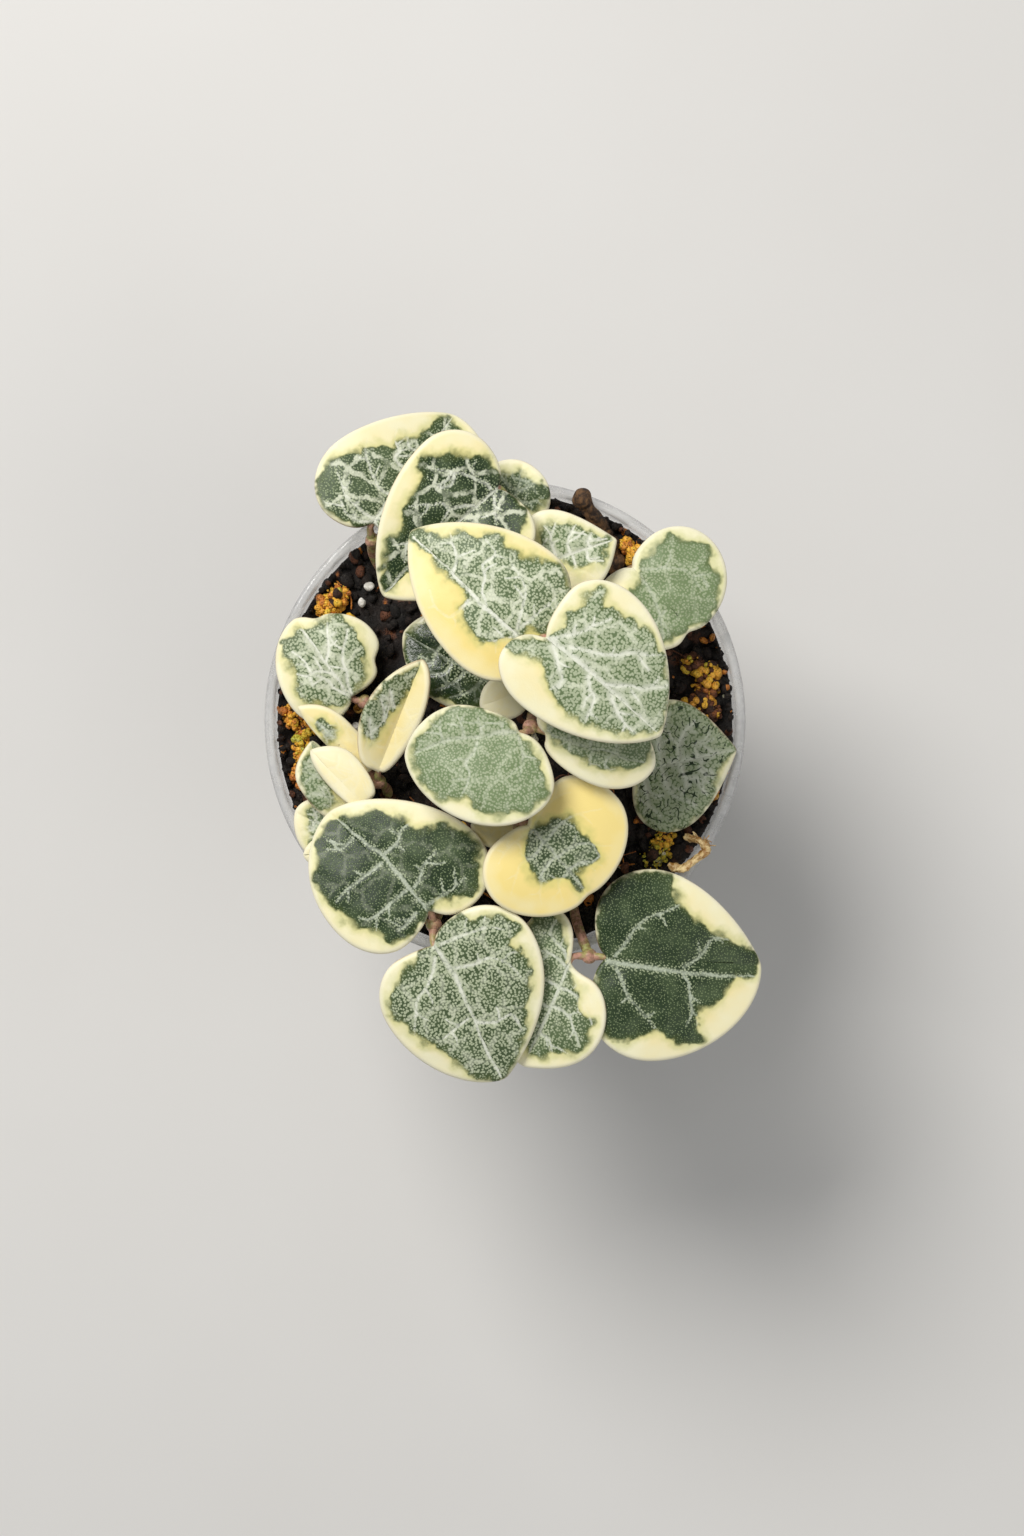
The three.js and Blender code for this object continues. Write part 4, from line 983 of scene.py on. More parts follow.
def shoot_pile(name):
    foot, bend, joint, *blades = SHOOTS[name]
    pile = Pile(flat=3, edge=1, vein=1, green=1, tone=3, under=1, kind=3, rivers=1)
    buried = (foot[0], foot[1], foot[2] - BURIED_DEPTH)
    line = spline([buried, foot, bend, joint], STEM_STEP)
    share = np.linspace(0, 1, len(line))
    radii = STEM_RADIUS * (1 + STEM_UNEVENNESS * waves(line, 0.25, len(name)) - STEM_TAPER * share)
    add_stalk(pile, *tube(line, radii, STEM_SIDES), brown=0.8)
    add_stalk(pile, *grain(joint, JOINT_RADIUS, len(name), level=3, rough=0.06, stretch=0.1), brown=0.6)
    for blade in blades:
        blade_shell(pile, blade)
        petiole_shell(pile, joint, blade)
    return pile


# Materials

class Graph:
    """A node material in the making."""

    def __init__(self, name):
        self.material = bpy.data.materials.new(name)
        self.material.use_nodes = True
        self.tree = self.material.node_tree
        self.shader = self.tree.nodes["Principled BSDF"]

    def feed(self, socket, value):
        if isinstance(value, bpy.types.NodeSocket):
            self.tree.links.new(value, socket)
        else:
            socket.default_value = value

    def node(self, kind, inputs, **settings):
        made = self.tree.nodes.new("ShaderNode" + kind)
        for key, value in settings.items():
            setattr(made, key, value)
        for key, value in inputs.items():
            self.feed(made.inputs[key], value)
        return made

    def number(self, name):
        return self.node("Attribute", {}, attribute_name=name).outputs["Fac"]

    def vector(self, name):
        return self.node("Attribute", {}, attribute_name=name).outputs["Vector"]

    def parts(self, vector):
        made = self.node("SeparateXYZ", {"Vector": vector})
        return made.outputs["X"], made.outputs["Y"], made.outputs["Z"]

    def math(self, operation, a, b=0.0):
        return self.node("Math", {0: a, 1: b}, operation=operation).outputs[0]

    def add(self, total, *others):
        for other in others:
            total = self.math("ADD", total, other)
        return total

    def times(self, total, *others):
        for other in others:
            total = self.math("MULTIPLY", total, other)
        return total

    def minus(self, a, b):
        return self.math("SUBTRACT", a, b)

    def step(self, value, low, high, start=0.0, end=1.0):
        made = self.node("MapRange", {"Value": value, "From Min": low, "From Max": high,
                                      "To Min": start, "To Max": end}, interpolation_type="SMOOTHSTEP")
        return made.outputs["Result"]

    def mix(self, share, a, b):
        made = self.node("Mix", {0: share}, data_type="RGBA")
        self.feed(made.inputs[6], a)
        self.feed(made.inputs[7], b)
        return made.outputs[2]

    def noise(self, vector, scale, detail=3.0, roughness=0.55):
        inputs = {"Vector": vector, "Scale": scale, "Detail": detail, "Roughness": roughness}
        return self.node("TexNoise", inputs).outputs["Fac"]

    def shaken(self, vector, scale, amount):
        made = self.node("TexNoise", {"Vector": vector, "Scale": scale, "Detail": 2.0})
        shift = self.node("VectorMath", {0: made.outputs["Color"], 1: (0.5, 0.5, 0.5)}, operation="SUBTRACT")
        scaled = self.node("VectorMath", {0: shift.outputs[0], "Scale": amount}, operation="SCALE")
        return self.node("VectorMath", {0: vector, 1: scaled.outputs[0]}, operation="ADD").outputs[0]

    def cells(self, vector, scale, dimensions="2D", feature="F1"):
        made = self.node("TexVoronoi", {"Vector": vector, "Scale": scale}, voronoi_dimensions=dimensions,
                         feature=feature)
        return made.outputs["Distance"]

    def millimetres(self):
        place_in_space = self.node("TexCoord", {}).outputs["Object"]
        return self.node("VectorMath", {0: place_in_space, "Scale": 1000.0}, operation="SCALE").outputs[0]

    def bump(self, height, distance_mm, strength=1.0):
        made = self.node("Bump", {"Height": height, "Distance": distance_mm * MM, "Strength": strength})
        self.feed(self.shader.inputs["Normal"], made.outputs["Normal"])

    def finish(self, **sockets):
        for key, value in sockets.items():
            self.feed(self.shader.inputs[key.replace("_", " ").title().replace("Ior", "IOR")], value)
        return self.material


def color(red, green, blue):
    return (red, green, blue, 1.0)


DARK_GREEN = color(0.015, 0.033, 0.009)
MID_GREEN = color(0.19, 0.26, 0.12)
OLIVE = color(0.12, 0.15, 0.02)
GREEN_GLOW = color(0.5, 0.52, 0.15)
SILVER_GREEN = color(0.45, 0.5, 0.33)
RIVER_SILVER = color(0.7, 0.73, 0.56)
SILVER_WHITE = color(0.8, 0.81, 0.7)
DOT_GREEN = color(0.17, 0.22, 0.1)
VEIN_GREY = color(0.42, 0.47, 0.36)
CREAM = color(0.88, 0.84, 0.58)
YELLOW = color(0.88, 0.71, 0.26)
PALE_EDGE = color(0.88, 0.84, 0.66)
EDGE_BROWN = color(0.42, 0.25, 0.14)
UNDER_GREEN = color(0.33, 0.38, 0.24)
STEM_BROWN = color(0.2, 0.105, 0.055)
STEM_PINK = color(0.5, 0.27, 0.2)
STEM_GREEN = color(0.36, 0.36, 0.12)


class LeafLook(Graph):
    """The look of the blades and stalks, from the values of their points and from noises at three scales."""

    def __init__(self):
        super().__init__("variegated_leaf")
        self.flat = self.vector("flat")
        self.edge = self.number("edge")
        self.vein = self.number("vein")
        self.under = self.number("under")
        self.rivers = self.number("rivers")
        self.dark, self.silver, self.yellow = self.parts(self.vector("tone"))
        self.veining, self.worms, self.gloss = self.parts(self.vector("kind"))
        self.slow = self.noise(self.flat, 0.3, 2.0)
        self.middling = self.noise(self.flat, 0.8, 3.0)
        self.fine = self.noise(self.flat, 2.6, 3.0)
        self.uneven = self.minus(self.middling, 0.5)
        self.ragged = self.minus(self.fine, 0.5)

        # The edge of the green, in rounded lobes
        lobes = self.times(self.minus(self.noise(self.flat, 0.7, 2.0), 0.5), 1.7)
        scallops = self.times(self.minus(0.4, self.cells(self.shaken(self.flat, 0.7, 1.2), 0.6)), 0.7)
        self.green = self.add(self.number("green"), self.add(lobes, scallops))
        crisp = self.step(self.noise(self.flat, 0.45, 1.0), 0.35, 0.65, 1.1, 3.4)
        self.is_green = self.step(self.times(self.green, crisp), -0.7, 0.7)
        self.fringe = self.step(self.green, 0.0, 0.8)

        veined = self.add(self.vein, self.times(self.ragged, 2.4), self.times(self.uneven, 1.8))
        broken = self.step(self.middling, 0.3, 0.6, 0.3, 0.95)
        self.is_vein = self.times(self.step(veined, 1.8, 0.3), broken, self.veining)

    def islands(self):
        """Pale gaps between islands of green, and the banks along them."""
        island = self.cells(self.shaken(self.flat, 0.9, 1.3), 0.3, feature="DISTANCE_TO_EDGE")
        island = self.add(island, self.times(self.ragged, 0.16))
        gaps = self.times(self.step(island, 0.11, 0.03), self.step(self.uneven, -0.12, 0.04, 0.25, 1.0))
        return gaps, self.step(island, 0.3, 0.05)

    def silver_shine(self, banks):
        """How silvery a place is: more along the banks and the veins, less at the edge of the green."""
        flank = self.step(self.add(self.vein, self.times(self.uneven, 5.0)), 5.5, 0.8)
        shine = self.times(self.silver, self.add(self.times(banks, 0.16), 0.66))
        shine = self.add(shine, self.times(flank, 0.3), self.times(self.uneven, 0.3))
        return self.times(shine, self.add(self.times(self.fringe, 0.6), 0.4))

    def pale_dots(self, shine):
        """Pale dots, which grow with the silver until only dark specks are left between them."""
        grain_cells = self.cells(self.shaken(self.flat, 3.0, 0.16), 3.3)
        reach = self.add(self.times(shine, 0.5), 0.17)
        return self.step(self.minus(reach, grain_cells), -0.09, 0.11)

    def green_area(self, shine, gaps, dots):
        """Green ground, silver grain, pale gaps, dark worm marks and veins, one over the other."""
        ground = self.times(self.dark, self.step(self.slow, 0.3, 0.6, 0.8, 1.0))
        ground = self.mix(ground, MID_GREEN, DARK_GREEN)
        olive = self.mix(0.5, DARK_GREEN, OLIVE)
        ground = self.mix(self.step(self.green, 0.9, 0.0, 0.0, 0.55), ground, olive)
        silvery = self.mix(self.step(shine, 0.1, 0.5), DOT_GREEN, SILVER_GREEN)
        silvery = self.mix(self.step(shine, 0.7, 1.3), silvery, SILVER_WHITE)
        blotched = self.step(self.add(self.middling, self.times(self.ragged, 0.2)), 0.5, 0.54, 0.06, 1.3)
        contrast = self.times(self.add(self.times(self.veining, 0.4), 0.5),
                              self.step(self.gloss, 0.0, 1.0, 1.0, blotched))
        leafy = self.mix(self.times(dots, contrast), ground, silvery)
        leafy = self.mix(self.times(gaps, self.rivers, self.fringe), leafy, RIVER_SILVER)

        contour = self.math("ABSOLUTE", self.minus(self.noise(self.flat, 1.0, 0.0), 0.5))
        marks = self.times(self.step(contour, 0.045, 0.03), self.step(self.middling, 0.49, 0.53))
        leafy = self.mix(self.times(marks, self.worms), leafy, DARK_GREEN)
        vein_white = self.math("MAXIMUM", self.step(self.silver, 0.1, 0.8), self.rivers)
        vein_color = self.mix(vein_white, VEIN_GREY, SILVER_WHITE)
        return self.mix(self.math("MINIMUM", self.is_vein, 1.0), leafy, vein_color)

    def cream_area(self):
        """Cream, more yellow inwards, with faint veins and a green glow beside the green."""
        inwards = self.step(self.edge, 0.9, 3.0, 0.0, 0.3)
        warm = self.add(self.yellow, self.times(self.minus(self.slow, 0.5), 0.9), inwards)
        warm = self.math("MINIMUM", self.math("MAXIMUM", warm, 0.0), 1.0)
        pale = self.mix(warm, CREAM, YELLOW)
        pale = self.mix(self.times(self.is_vein, 0.3), pale, PALE_EDGE)
        pale = self.mix(self.step(self.green, -1.2, 0.0, 0.0, 0.5), pale, GREEN_GLOW)
        return self.mix(self.step(self.edge, 0.7, 0.1, 0.0, 0.6), pale, PALE_EDGE)

    def lower_face(self):
        below = self.mix(self.times(self.is_green, 0.7), CREAM, UNDER_GREEN)
        return self.mix(self.step(self.fine, 0.5, 0.8, 0.0, 0.3), below, STEM_PINK)

    def stalk_skin(self):
        skin = self.mix(self.step(self.noise(self.flat, 0.8, 4.0), 0.4, 0.65), STEM_PINK, STEM_GREEN)
        brown = self.times(self.step(self.noise(self.flat, 2.5, 4.0), 0.42, 0.6), self.dark)
        return self.mix(brown, skin, STEM_BROWN)

    def made(self):
        gaps, banks = self.islands()
        shine = self.silver_shine(banks)
        dots = self.pale_dots(shine)
        top = self.mix(self.is_green, self.cream_area(), self.green_area(shine, gaps, dots))
        line = self.times(self.step(self.edge, 0.14, 0.0), self.step(self.slow, 0.42, 0.62, 0.1, 0.55))
        top = self.mix(line, top, EDGE_BROWN)
        face = self.mix(self.step(self.under, 0.6, 0.9), top, self.lower_face())
        whole = self.mix(self.step(self.under, 1.4, 1.6), face, self.stalk_skin())

        relief = self.add(self.times(dots, 0.35), self.times(self.fine, 0.6))
        relief = self.times(relief, self.add(self.times(self.is_green, 0.8), 0.2))
        self.bump(relief, 0.09, 0.6)
        roughness = self.add(self.times(self.fine, 0.16), self.step(self.gloss, 0.0, 1.0, 0.36, 0.12))
        return self.finish(base_color=whole, roughness=roughness, specular_ior_level=0.36)


# Painted shade for the pits of the granules' bump
PORE_SHADE = color(0.008, 0.005, 0.003)
# Where each colour of the mix stands on the scale of tints
CRUMB_STOPS = (
    (0.0, (0.004, 0.003, 0.002)),
    (0.3, (0.015, 0.008, 0.005)),
    (0.45, (0.15, 0.05, 0.02)),
    (0.6, (0.6, 0.2, 0.03)),
    (0.75, (0.95, 0.52, 0.05)),
    (0.88, (0.5, 0.48, 0.04)),
    (1.0, (0.62, 0.58, 0.48)),
)


def crumb_material(name):
    """Granules whose tint value picks a colour from black-brown through orange and gold to pale, with painted
    shade in the pits of their bump.
    """
    graph = Graph(name)
    place_mm = graph.millimetres()
    tint = graph.number("tint")
    shift = graph.times(graph.minus(graph.noise(place_mm, 1.6, 4.0), 0.5), 0.22)
    ramp = graph.node("ValToRGB", {"Fac": graph.add(tint, shift)})
    stops = ramp.color_ramp.elements
    for index, (at, shade) in enumerate(CRUMB_STOPS):
        stop = stops[index] if index < 2 else stops.new(at)
        stop.position = at
        stop.color = (*shade, 1)
    # Painted shade: the pits of the bump are darkened halfway to near-black, as shade would lie in real pores
    pores = graph.step(graph.cells(place_mm, 4.5, "3D"), 0.1, 0.5)
    tone = graph.mix(graph.times(graph.step(pores, 0.6, 0.0), 0.5), ramp.outputs["Color"], PORE_SHADE)
    graph.bump(graph.add(pores, graph.noise(place_mm, 6.0, 4.0)), 0.12)
    rough = graph.add(graph.step(graph.noise(place_mm, 2.0), 0.3, 0.7, 0.3, 0.55),
                      graph.step(tint, 0.6, 0.3, 0.0, 0.4))
    return graph.finish(base_color=tone, roughness=rough)


def pot_material():
    graph = Graph("clear_plastic")
    place_mm = graph.millimetres()
    cloud = graph.noise(place_mm, 0.12, 3.0)
    scuff = graph.step(graph.noise(graph.shaken(place_mm, 0.4, 2.0), 2.2, 5.0), 0.56, 0.7)
    tone = graph.mix(graph.step(cloud, 0.35, 0.65), color(0.5, 0.5, 0.5), color(0.62, 0.62, 0.61))
    haze_and_reflection = graph.add(graph.times(scuff, 0.09), graph.step(cloud, 0.35, 0.65, 0.05, 0.075))
    _, _, height = graph.parts(place_mm)
    streak = graph.step(graph.noise(graph.shaken(place_mm, 0.3, 1.0), 0.35, 2.0), 0.4, 0.66, 0.28, 0.62)
    haze_and_reflection = graph.add(haze_and_reflection, graph.times(graph.step(height, POT_HEIGHT - 2.5, POT_HEIGHT - 0.4), streak))
    # Painted reflection: the grey plastic grows more opaque towards glancing angles, standing in for the
    # light its surface would reflect there.
    glancing_reflection = graph.node("LayerWeight", {"Blend": 0.3}).outputs["Facing"]
    haze_and_reflection = graph.add(haze_and_reflection, graph.step(glancing_reflection, 0.35, 1.0, 0.0, 0.4))
    rough = graph.add(graph.times(scuff, 0.25), 0.12)
    graph.bump(graph.noise(place_mm, 0.5, 3.0), 0.06)
    return graph.finish(base_color=tone, roughness=rough, alpha=haze_and_reflection)


def floor_material():
    graph = Graph("pale_floor")
    place_mm = graph.millimetres()
    tone = graph.mix(graph.noise(place_mm, 0.02), color(0.66, 0.645, 0.62), color(0.7, 0.69, 0.67))
    return graph.finish(base_color=tone, roughness=0.8)


# Darker colour, lighter colour and roughness
WOODY = {
    "bark": (color(0.02, 0.01, 0.005), color(0.16, 0.08, 0.03), 0.8),
    "dry_root": (color(0.35, 0.17, 0.04), color(0.88, 0.68, 0.34), 0.25),
    "fertiliser_coat": (color(0.45, 0.2, 0.03), color(0.8, 0.5, 0.12), 0.4),
    "perlite": (color(0.55, 0.52, 0.46), color(0.85, 0.83, 0.78), 0.9),
}


def woody_material(name):
    darker, lighter, roughness = WOODY[name]
    graph = Graph(name)
    place_mm = graph.millimetres()
    streak = graph.noise(graph.shaken(place_mm, 0.6, 1.5), 1.3, 6.0, 0.65)
    tone = graph.mix(graph.step(streak, 0.38, 0.64), darker, lighter)
    graph.bump(streak, 0.25)
    return graph.finish(base_color=tone, roughness=roughness)


# Pot and mix

def pot_profile():
    """Up the outer wall, round the lip and down the inner wall."""
    inner = RIM_RADIUS - RIM_WIDTH
    neck = COLLAR_RADIUS - RIM_WIDTH
    spread = SHOULDER_RADIUS - BASE_RADIUS
    # Radius of each point round the lip, and how far it is below the top
    lip = [(COLLAR_RADIUS + 0.06, 3), (RIM_RADIUS - 0.16, 1.1), (RIM_RADIUS - 0.03, 0.9), (RIM_RADIUS, 0.6),
           (RIM_RADIUS - 0.04, 0.3), (RIM_RADIUS - 0.16, 0.1), (RIM_RADIUS - 0.38, 0), (inner + 0.38, 0),
           (inner + 0.14, 0.12), (inner, 0.4), (neck + 0.05, 2.5)]
    return [
        (0, 0), (BASE_RADIUS - 1.6, 0), (BASE_RADIUS - 0.4, 0), (BASE_RADIUS - 0.12, 0.12),
        (BASE_RADIUS, 0.4), (BASE_RADIUS + 0.15, 1.4),
        *[(BASE_RADIUS + spread * t, SHOULDER_HEIGHT * t) for t in OUTER_WALL_STEPS],
        (SHOULDER_RADIUS, SHOULDER_HEIGHT), (SHOULDER_RADIUS + 0.3, SHOULDER_HEIGHT + 0.12),
        (COLLAR_RADIUS - 0.35, SHELF_HEIGHT - 0.14), (COLLAR_RADIUS - 0.05, SHELF_HEIGHT),
        (COLLAR_RADIUS + 0.02, SHELF_HEIGHT + 0.3),
        *[(radius, POT_HEIGHT - below) for radius, below in lip],
        (neck, SHELF_HEIGHT + WALL), (neck - 0.3, SHELF_HEIGHT + 0.72),
        (SHOULDER_RADIUS - WALL + 0.2, SHELF_HEIGHT + 0.12), (SHOULDER_RADIUS - WALL, SHELF_HEIGHT - 0.1),
        *[(BASE_RADIUS - WALL + spread * t, POT_FLOOR + (SHELF_HEIGHT - POT_FLOOR) * t)
          for t in INNER_WALL_STEPS],
        (BASE_RADIUS - WALL - 0.1, POT_FLOOR), (BASE_RADIUS - 3, POT_FLOOR), (0, POT_FLOOR),
    ]


def drain_cutter(material):
    low, high = DRAIN_CUT
    verts, faces = lathe([(0, low), (DRAIN_RADIUS, low), (DRAIN_RADIUS, high), (0, high)], DRAIN_SIDES)
    cutters = Pile()
    for hole in range(DRAIN_HOLES):
        cutters.add(verts + around(DRAIN_CIRCLE, hole / DRAIN_HOLES * 2 * math.pi, 0), faces)
    return cutters.build("drain_cutter", material)


def pot_piece(material):
    pile = Pile()
    pile.add(*lathe(pot_profile(), POT_SIDES))
    pot = pile.build("clear_pot", material)
    cutter = drain_cutter(material)
    cut = pot.modifiers.new("drain", "BOOLEAN")
    cut.operation = "DIFFERENCE"
    cut.solver = "EXACT"
    cut.object = cutter
    depsgraph = bpy.context.evaluated_depsgraph_get()
    pot.data = bpy.data.meshes.new_from_object(pot.evaluated_get(depsgraph))
    pot.modifiers.clear()
    bpy.data.objects.remove(cutter)
    pot.data.set_sharp_from_angle(angle=math.radians(SHARP_ANGLE))
    return pot


def inside_radius(height):
    foot = BASE_RADIUS - WALL
    neck = SHOULDER_RADIUS - WALL
    if height > SHELF_HEIGHT:
        return COLLAR_RADIUS - RIM_WIDTH
    return foot + (neck - foot) * (height - POT_FLOOR) / (SHELF_HEIGHT - POT_FLOOR)


def soil_level(radius):
    return SOIL_RIM_LEVEL + SOIL_CROWN_RISE * (1 - (radius / RIM_RADIUS) ** 2)


def soil_profile():
    """Under the mix, up its side and over its top to the axis."""
    bottom = POT_FLOOR + GAP
    top_radius = inside_radius(POT_HEIGHT) - TOP_GAP
    rows = [(0, bottom), (6, bottom), (12, bottom)]
    for step in range(SOIL_SIDE_ROWS + 1):
        height = bottom + (SHELF_HEIGHT - bottom) * step / SOIL_SIDE_ROWS
        rows.append((inside_radius(height) - GAP, height))
    rows.append((top_radius, SHELF_HEIGHT + 2 * WALL))
    for ring in range(SOIL_RINGS):
        radius = top_radius * (1 - ring / SOIL_RINGS)
        rows.append((radius, soil_level(radius)))
    return rows + [(0, soil_level(0))]


def soil_body(pile):
    """The mix as one rough body, black-brown with golden specks."""
    verts, faces = lathe(soil_profile(), SOIL_SIDES)
    radius = np.hypot(verts[:, 0], verts[:, 1])
    on_top = verts[:, 2] > SOIL_RIM_LEVEL - 0.5
    rough = np.clip(layered_waves(verts, SOIL_RELIEF), -SOIL_RELIEF_LIMIT, SOIL_RELIEF_LIMIT)
    verts[:, 2] += np.where(on_top, rough, 0)
    on_wall = ~on_top & (verts[:, 2] > POT_FLOOR + GAP + 0.1)
    hollows = np.where(on_wall, np.clip(0.1 + 0.1 * waves(verts, 0.5, 3), 0, 0.3), 0)
    verts[:, :2] *= (1 - hollows / np.maximum(radius, 1))[:, None]
    tint = SOIL_TINT + SOIL_TINT * waves(verts, 0.3, 4)
    specks = waves(verts, 0.9, 5) > SPECK_LEVEL
    pile.add(verts, faces, tint=np.where(specks, SPECK_TINT, tint))


DARK_CRUMBS = 0.78
# Tints of the other crumbs, each with the share of draws up to which it is met
BRIGHT_CRUMBS = ((0.89, 0.41), (0.95, 0.6), (0.98, 0.75), (1, 0.98))


def crumb_tint(draw):
    """Most crumbs are black-brown, some brown, a few golden or pale."""
    if draw < DARK_CRUMBS:
        return 0.03 + draw * 0.36
    return next(tint for share, tint in BRIGHT_CRUMBS if draw < share)


def top_crumbs(pile, source):
    for number in range(CRUMB_COUNT):
        radius = CRUMB_AREA_RADIUS * math.sqrt(source.uniform())
        angle = source.uniform(0, 2 * math.pi)
        size = drawn_size(source, *CRUMB_SIZES)
        height = soil_level(radius) + source.uniform(*CRUMB_LIFTS)
        verts, faces = grain(around(radius, angle, height), size, number, level=int(size > FINE_CRUMB))
        pile.add(verts, faces, tint=crumb_tint(source.uniform()))


def bank_crumbs(pile, source):
    """Crumbs heaped against the inside of the collar."""
    for number in range(BANK_CRUMBS):
        angle = source.uniform(0, 2 * math.pi)
        size = source.uniform(*BANK_SIZES)
        radius = inside_radius(POT_HEIGHT) - TOP_GAP - size
        centre = around(radius, angle, source.uniform(*BANK_HEIGHTS))
        verts, faces = grain(centre, size, number + 5, level=int(size > FINE_BANK_CRUMB))
        pile.add(verts, faces, tint=min(crumb_tint(source.uniform()), 0.6))


def wall_crumbs(pile, source):
    """Crumbs pressed flat against the clear wall."""
    for number in range(WALL_CRUMBS):
        height = source.uniform(POT_FLOOR + 1, SHELF_HEIGHT)
        angle = source.uniform(0, 2 * math.pi)
        size = drawn_size(source, *WALL_CRUMB_SIZES)
        radius = inside_radius(height) - GAP - WALL_CRUMB_DEPTH * size
        verts, faces = grain((0, 0, 0), size, number + 7, level=int(size > FINE_WALL_CRUMB))
        verts[:, 0] *= WALL_CRUMB_FLATNESS
        verts[:, :2] = verts[:, :2] @ turned(angle).T
        pile.add(verts + around(radius, angle, height), faces, tint=crumb_tint(source.uniform()))


def fibres(pile, source):
    for _ in range(FIBRE_COUNT):
        radius = (CRUMB_AREA_RADIUS - 2) * math.sqrt(source.uniform())
        angle = source.uniform(0, 2 * math.pi)
        at = around(radius, angle, soil_level(radius) + FIBRE_LIFT)
        way = unit(source.normal(size=3) * (1, 1, 0.15))
        bend = source.normal(size=3) * (0.6, 0.6, 0.15)
        size = source.uniform(*FIBRE_REACHES)
        line = spline([at - way * size, at + bend, at + way * size], 0.5)
        verts, faces = tube(line, source.uniform(*FIBRE_RADII), FIBRE_SIDES)
        pile.add(verts, faces, tint=source.choice(FIBRE_TINTS))


def soil_piece(material):
    pile = Pile(tint=1)
    soil_body(pile)
    source = np.random.default_rng(SOIL_SEED)
    for scatter in (top_crumbs, bank_crumbs, wall_crumbs, fibres):
        scatter(pile, source)
    return pile.build("potting_mix", material)


# Loose things on the mix

# Lumps of granules along the rim, as in the solid model: radius of the row, its first and last angle,
# how many lumps, their size, their height and the seed, then the tints met along the row
CRUSTS = {
    "crust_left": (24.4, 170, 195, 7, 1.5, 47.4, 3,
        ((0.46, 0.54, 0.5), (0.52, 0.58, 0.62), (0.62, 0.7, 0.75), (0.7, 0.8, 0.64), (0.72, 0.85, 0.78),
         (0.6, 0.66, 0.72), (0.56, 0.62, 0.66))),
    "crust_upper_left": (24.4, 143, 150, 4, 1.4, 48, 5, ((0.7, 0.74, 0.78, 0.62),)),
    "crust_upper_right": (24.9, 49, 55, 3, 1, 47.8, 8, ((0.72, 0.84, 0.9), (0.7, 0.76), (0.6, 0.66, 0.74))),
    "crust_right": (24, 3, 17, 5, 1.6, 47.6, 12,
        ((0.42, 0.48, 0.7), (0.45, 0.74, 0.5), (0.4, 0.46, 0.8, 0.72))),
    "crust_right_rim": (25, -20, -16, 3, 1, 48.2, 21, ((0.66, 0.72, 0.76),)),
    "moss_lower_right": (23.4, -42, -35, 4, 1.5, 47.3, 30,
        ((0.87, 0.9, 0.84), (0.86, 0.8), (0.74, 0.77, 0.82))),
}
CRUST_SPREAD = 1.2
CRUST_LEAST = 0.85
CRUST_MORE = 0.35
CRUST_UNEVEN = 0.5
GRANULES_A_LUMP = 110
GRANULE_REACH = 0.5
GRANULE_SPREAD = 0.4
GRANULE_POWER = 2.5
FINE_GRANULES = (0.17, 0.45)
LUMP_FLATNESS = (1, 1, 0.8)
CRUST_BITS = (0.13, 0.52)
MOSS_BITS = (0.12, 0.34)
CORE_SHARE = 0.5
CORE_TINT = 0.33


def crust_lump(pile, source, lump, centre, size, bits, tints):
    """A dark core with granules all round it."""
    core, faces = grain(centre, CORE_SHARE * size, lump + 50, level=2, rough=0.3, stretch=0.2)
    pile.add(core, faces, tint=CORE_TINT)
    least, most = bits
    for number in range(GRANULES_A_LUMP):
        way = unit(source.normal(size=3))
        reach = size * (GRANULE_REACH + GRANULE_SPREAD * source.uniform())
        bit = drawn_size(source, least, most - least, GRANULE_POWER)
        level = sum(bit > fine for fine in FINE_GRANULES)
        verts, faces = grain(centre + way * reach * LUMP_FLATNESS, bit, number + lump * 97, level=level,
                             rough=0.14, stretch=0.25)
        pile.add(verts, faces, tint=source.choice(tints) + source.uniform(-0.06, 0.05))


def crust_piece(name, material):
    """Granules packed round the lumps of the solid model, which the same draws place."""
    row_radius, first, last, count, lump_size, level, seed, tints = CRUSTS[name]
    bits = MOSS_BITS if name.startswith("moss") else CRUST_BITS
    draw = Draws(seed)
    source = np.random.default_rng(seed)
    pile = Pile(tint=1)
    for lump in range(count):
        share = lump / (count - 1)
        angle = math.radians(first + (last - first) * share)
        radius = row_radius - CRUST_SPREAD * draw() * lump_size
        size = lump_size * (CRUST_LEAST + CRUST_MORE * draw())
        centre = around(radius, angle, level + CRUST_UNEVEN * draw())
        # The next two draws turn the lump of the solid model
        draw()
        draw()
        here = tints[min(int(share * len(tints)), len(tints) - 1)]
        crust_lump(pile, source, lump, centre, size, bits, here)
    return pile.build(name + "_crumbs", material)


def rough_tube(route, step, radius, sides, flat, layers):
    """A tube with a rough skin. Each layer: depth, waves a millimetre, seed and stretch round the tube."""
    line = spline(route, step)
    verts, faces = tube(line, radius, sides, flat)
    middle = np.repeat(line, sides, axis=0)
    out = verts[:len(middle)] - middle
    rough = sum(depth * waves(middle + out * stretch, scale, seed) for depth, scale, seed, stretch in layers)
    verts[:len(middle)] = middle + out * (1 + rough)[:, None]
    return verts, faces


BARK_ROUTE = [(8.8, 25.3, 51.9), (9.6, 23.9, 51.3), (11, 22.3, 49.6), (12, 20.2, 48.4), (12.6, 18.2, 47.8)]
BARK_RADIUS = 0.9
BARK_SIDES = 26
BARK_RELIEF = ((0.2, 0.3, 8, 3), (0.1, 0.9, 9, 3))
BARK_LUMPS = ((0, 1.4), (3, 1.2), (4, 1.2))


def bark_piece(material):
    pile = Pile()
    pile.add(*rough_tube(BARK_ROUTE, 0.22, BARK_RADIUS, BARK_SIDES, 0.8, BARK_RELIEF))
    for index, radius in BARK_LUMPS:
        pile.add(*grain(BARK_ROUTE[index], radius * 0.95, index + 3, level=3, rough=0.12, stretch=0.12))
    return pile.build("bark_chip", material)


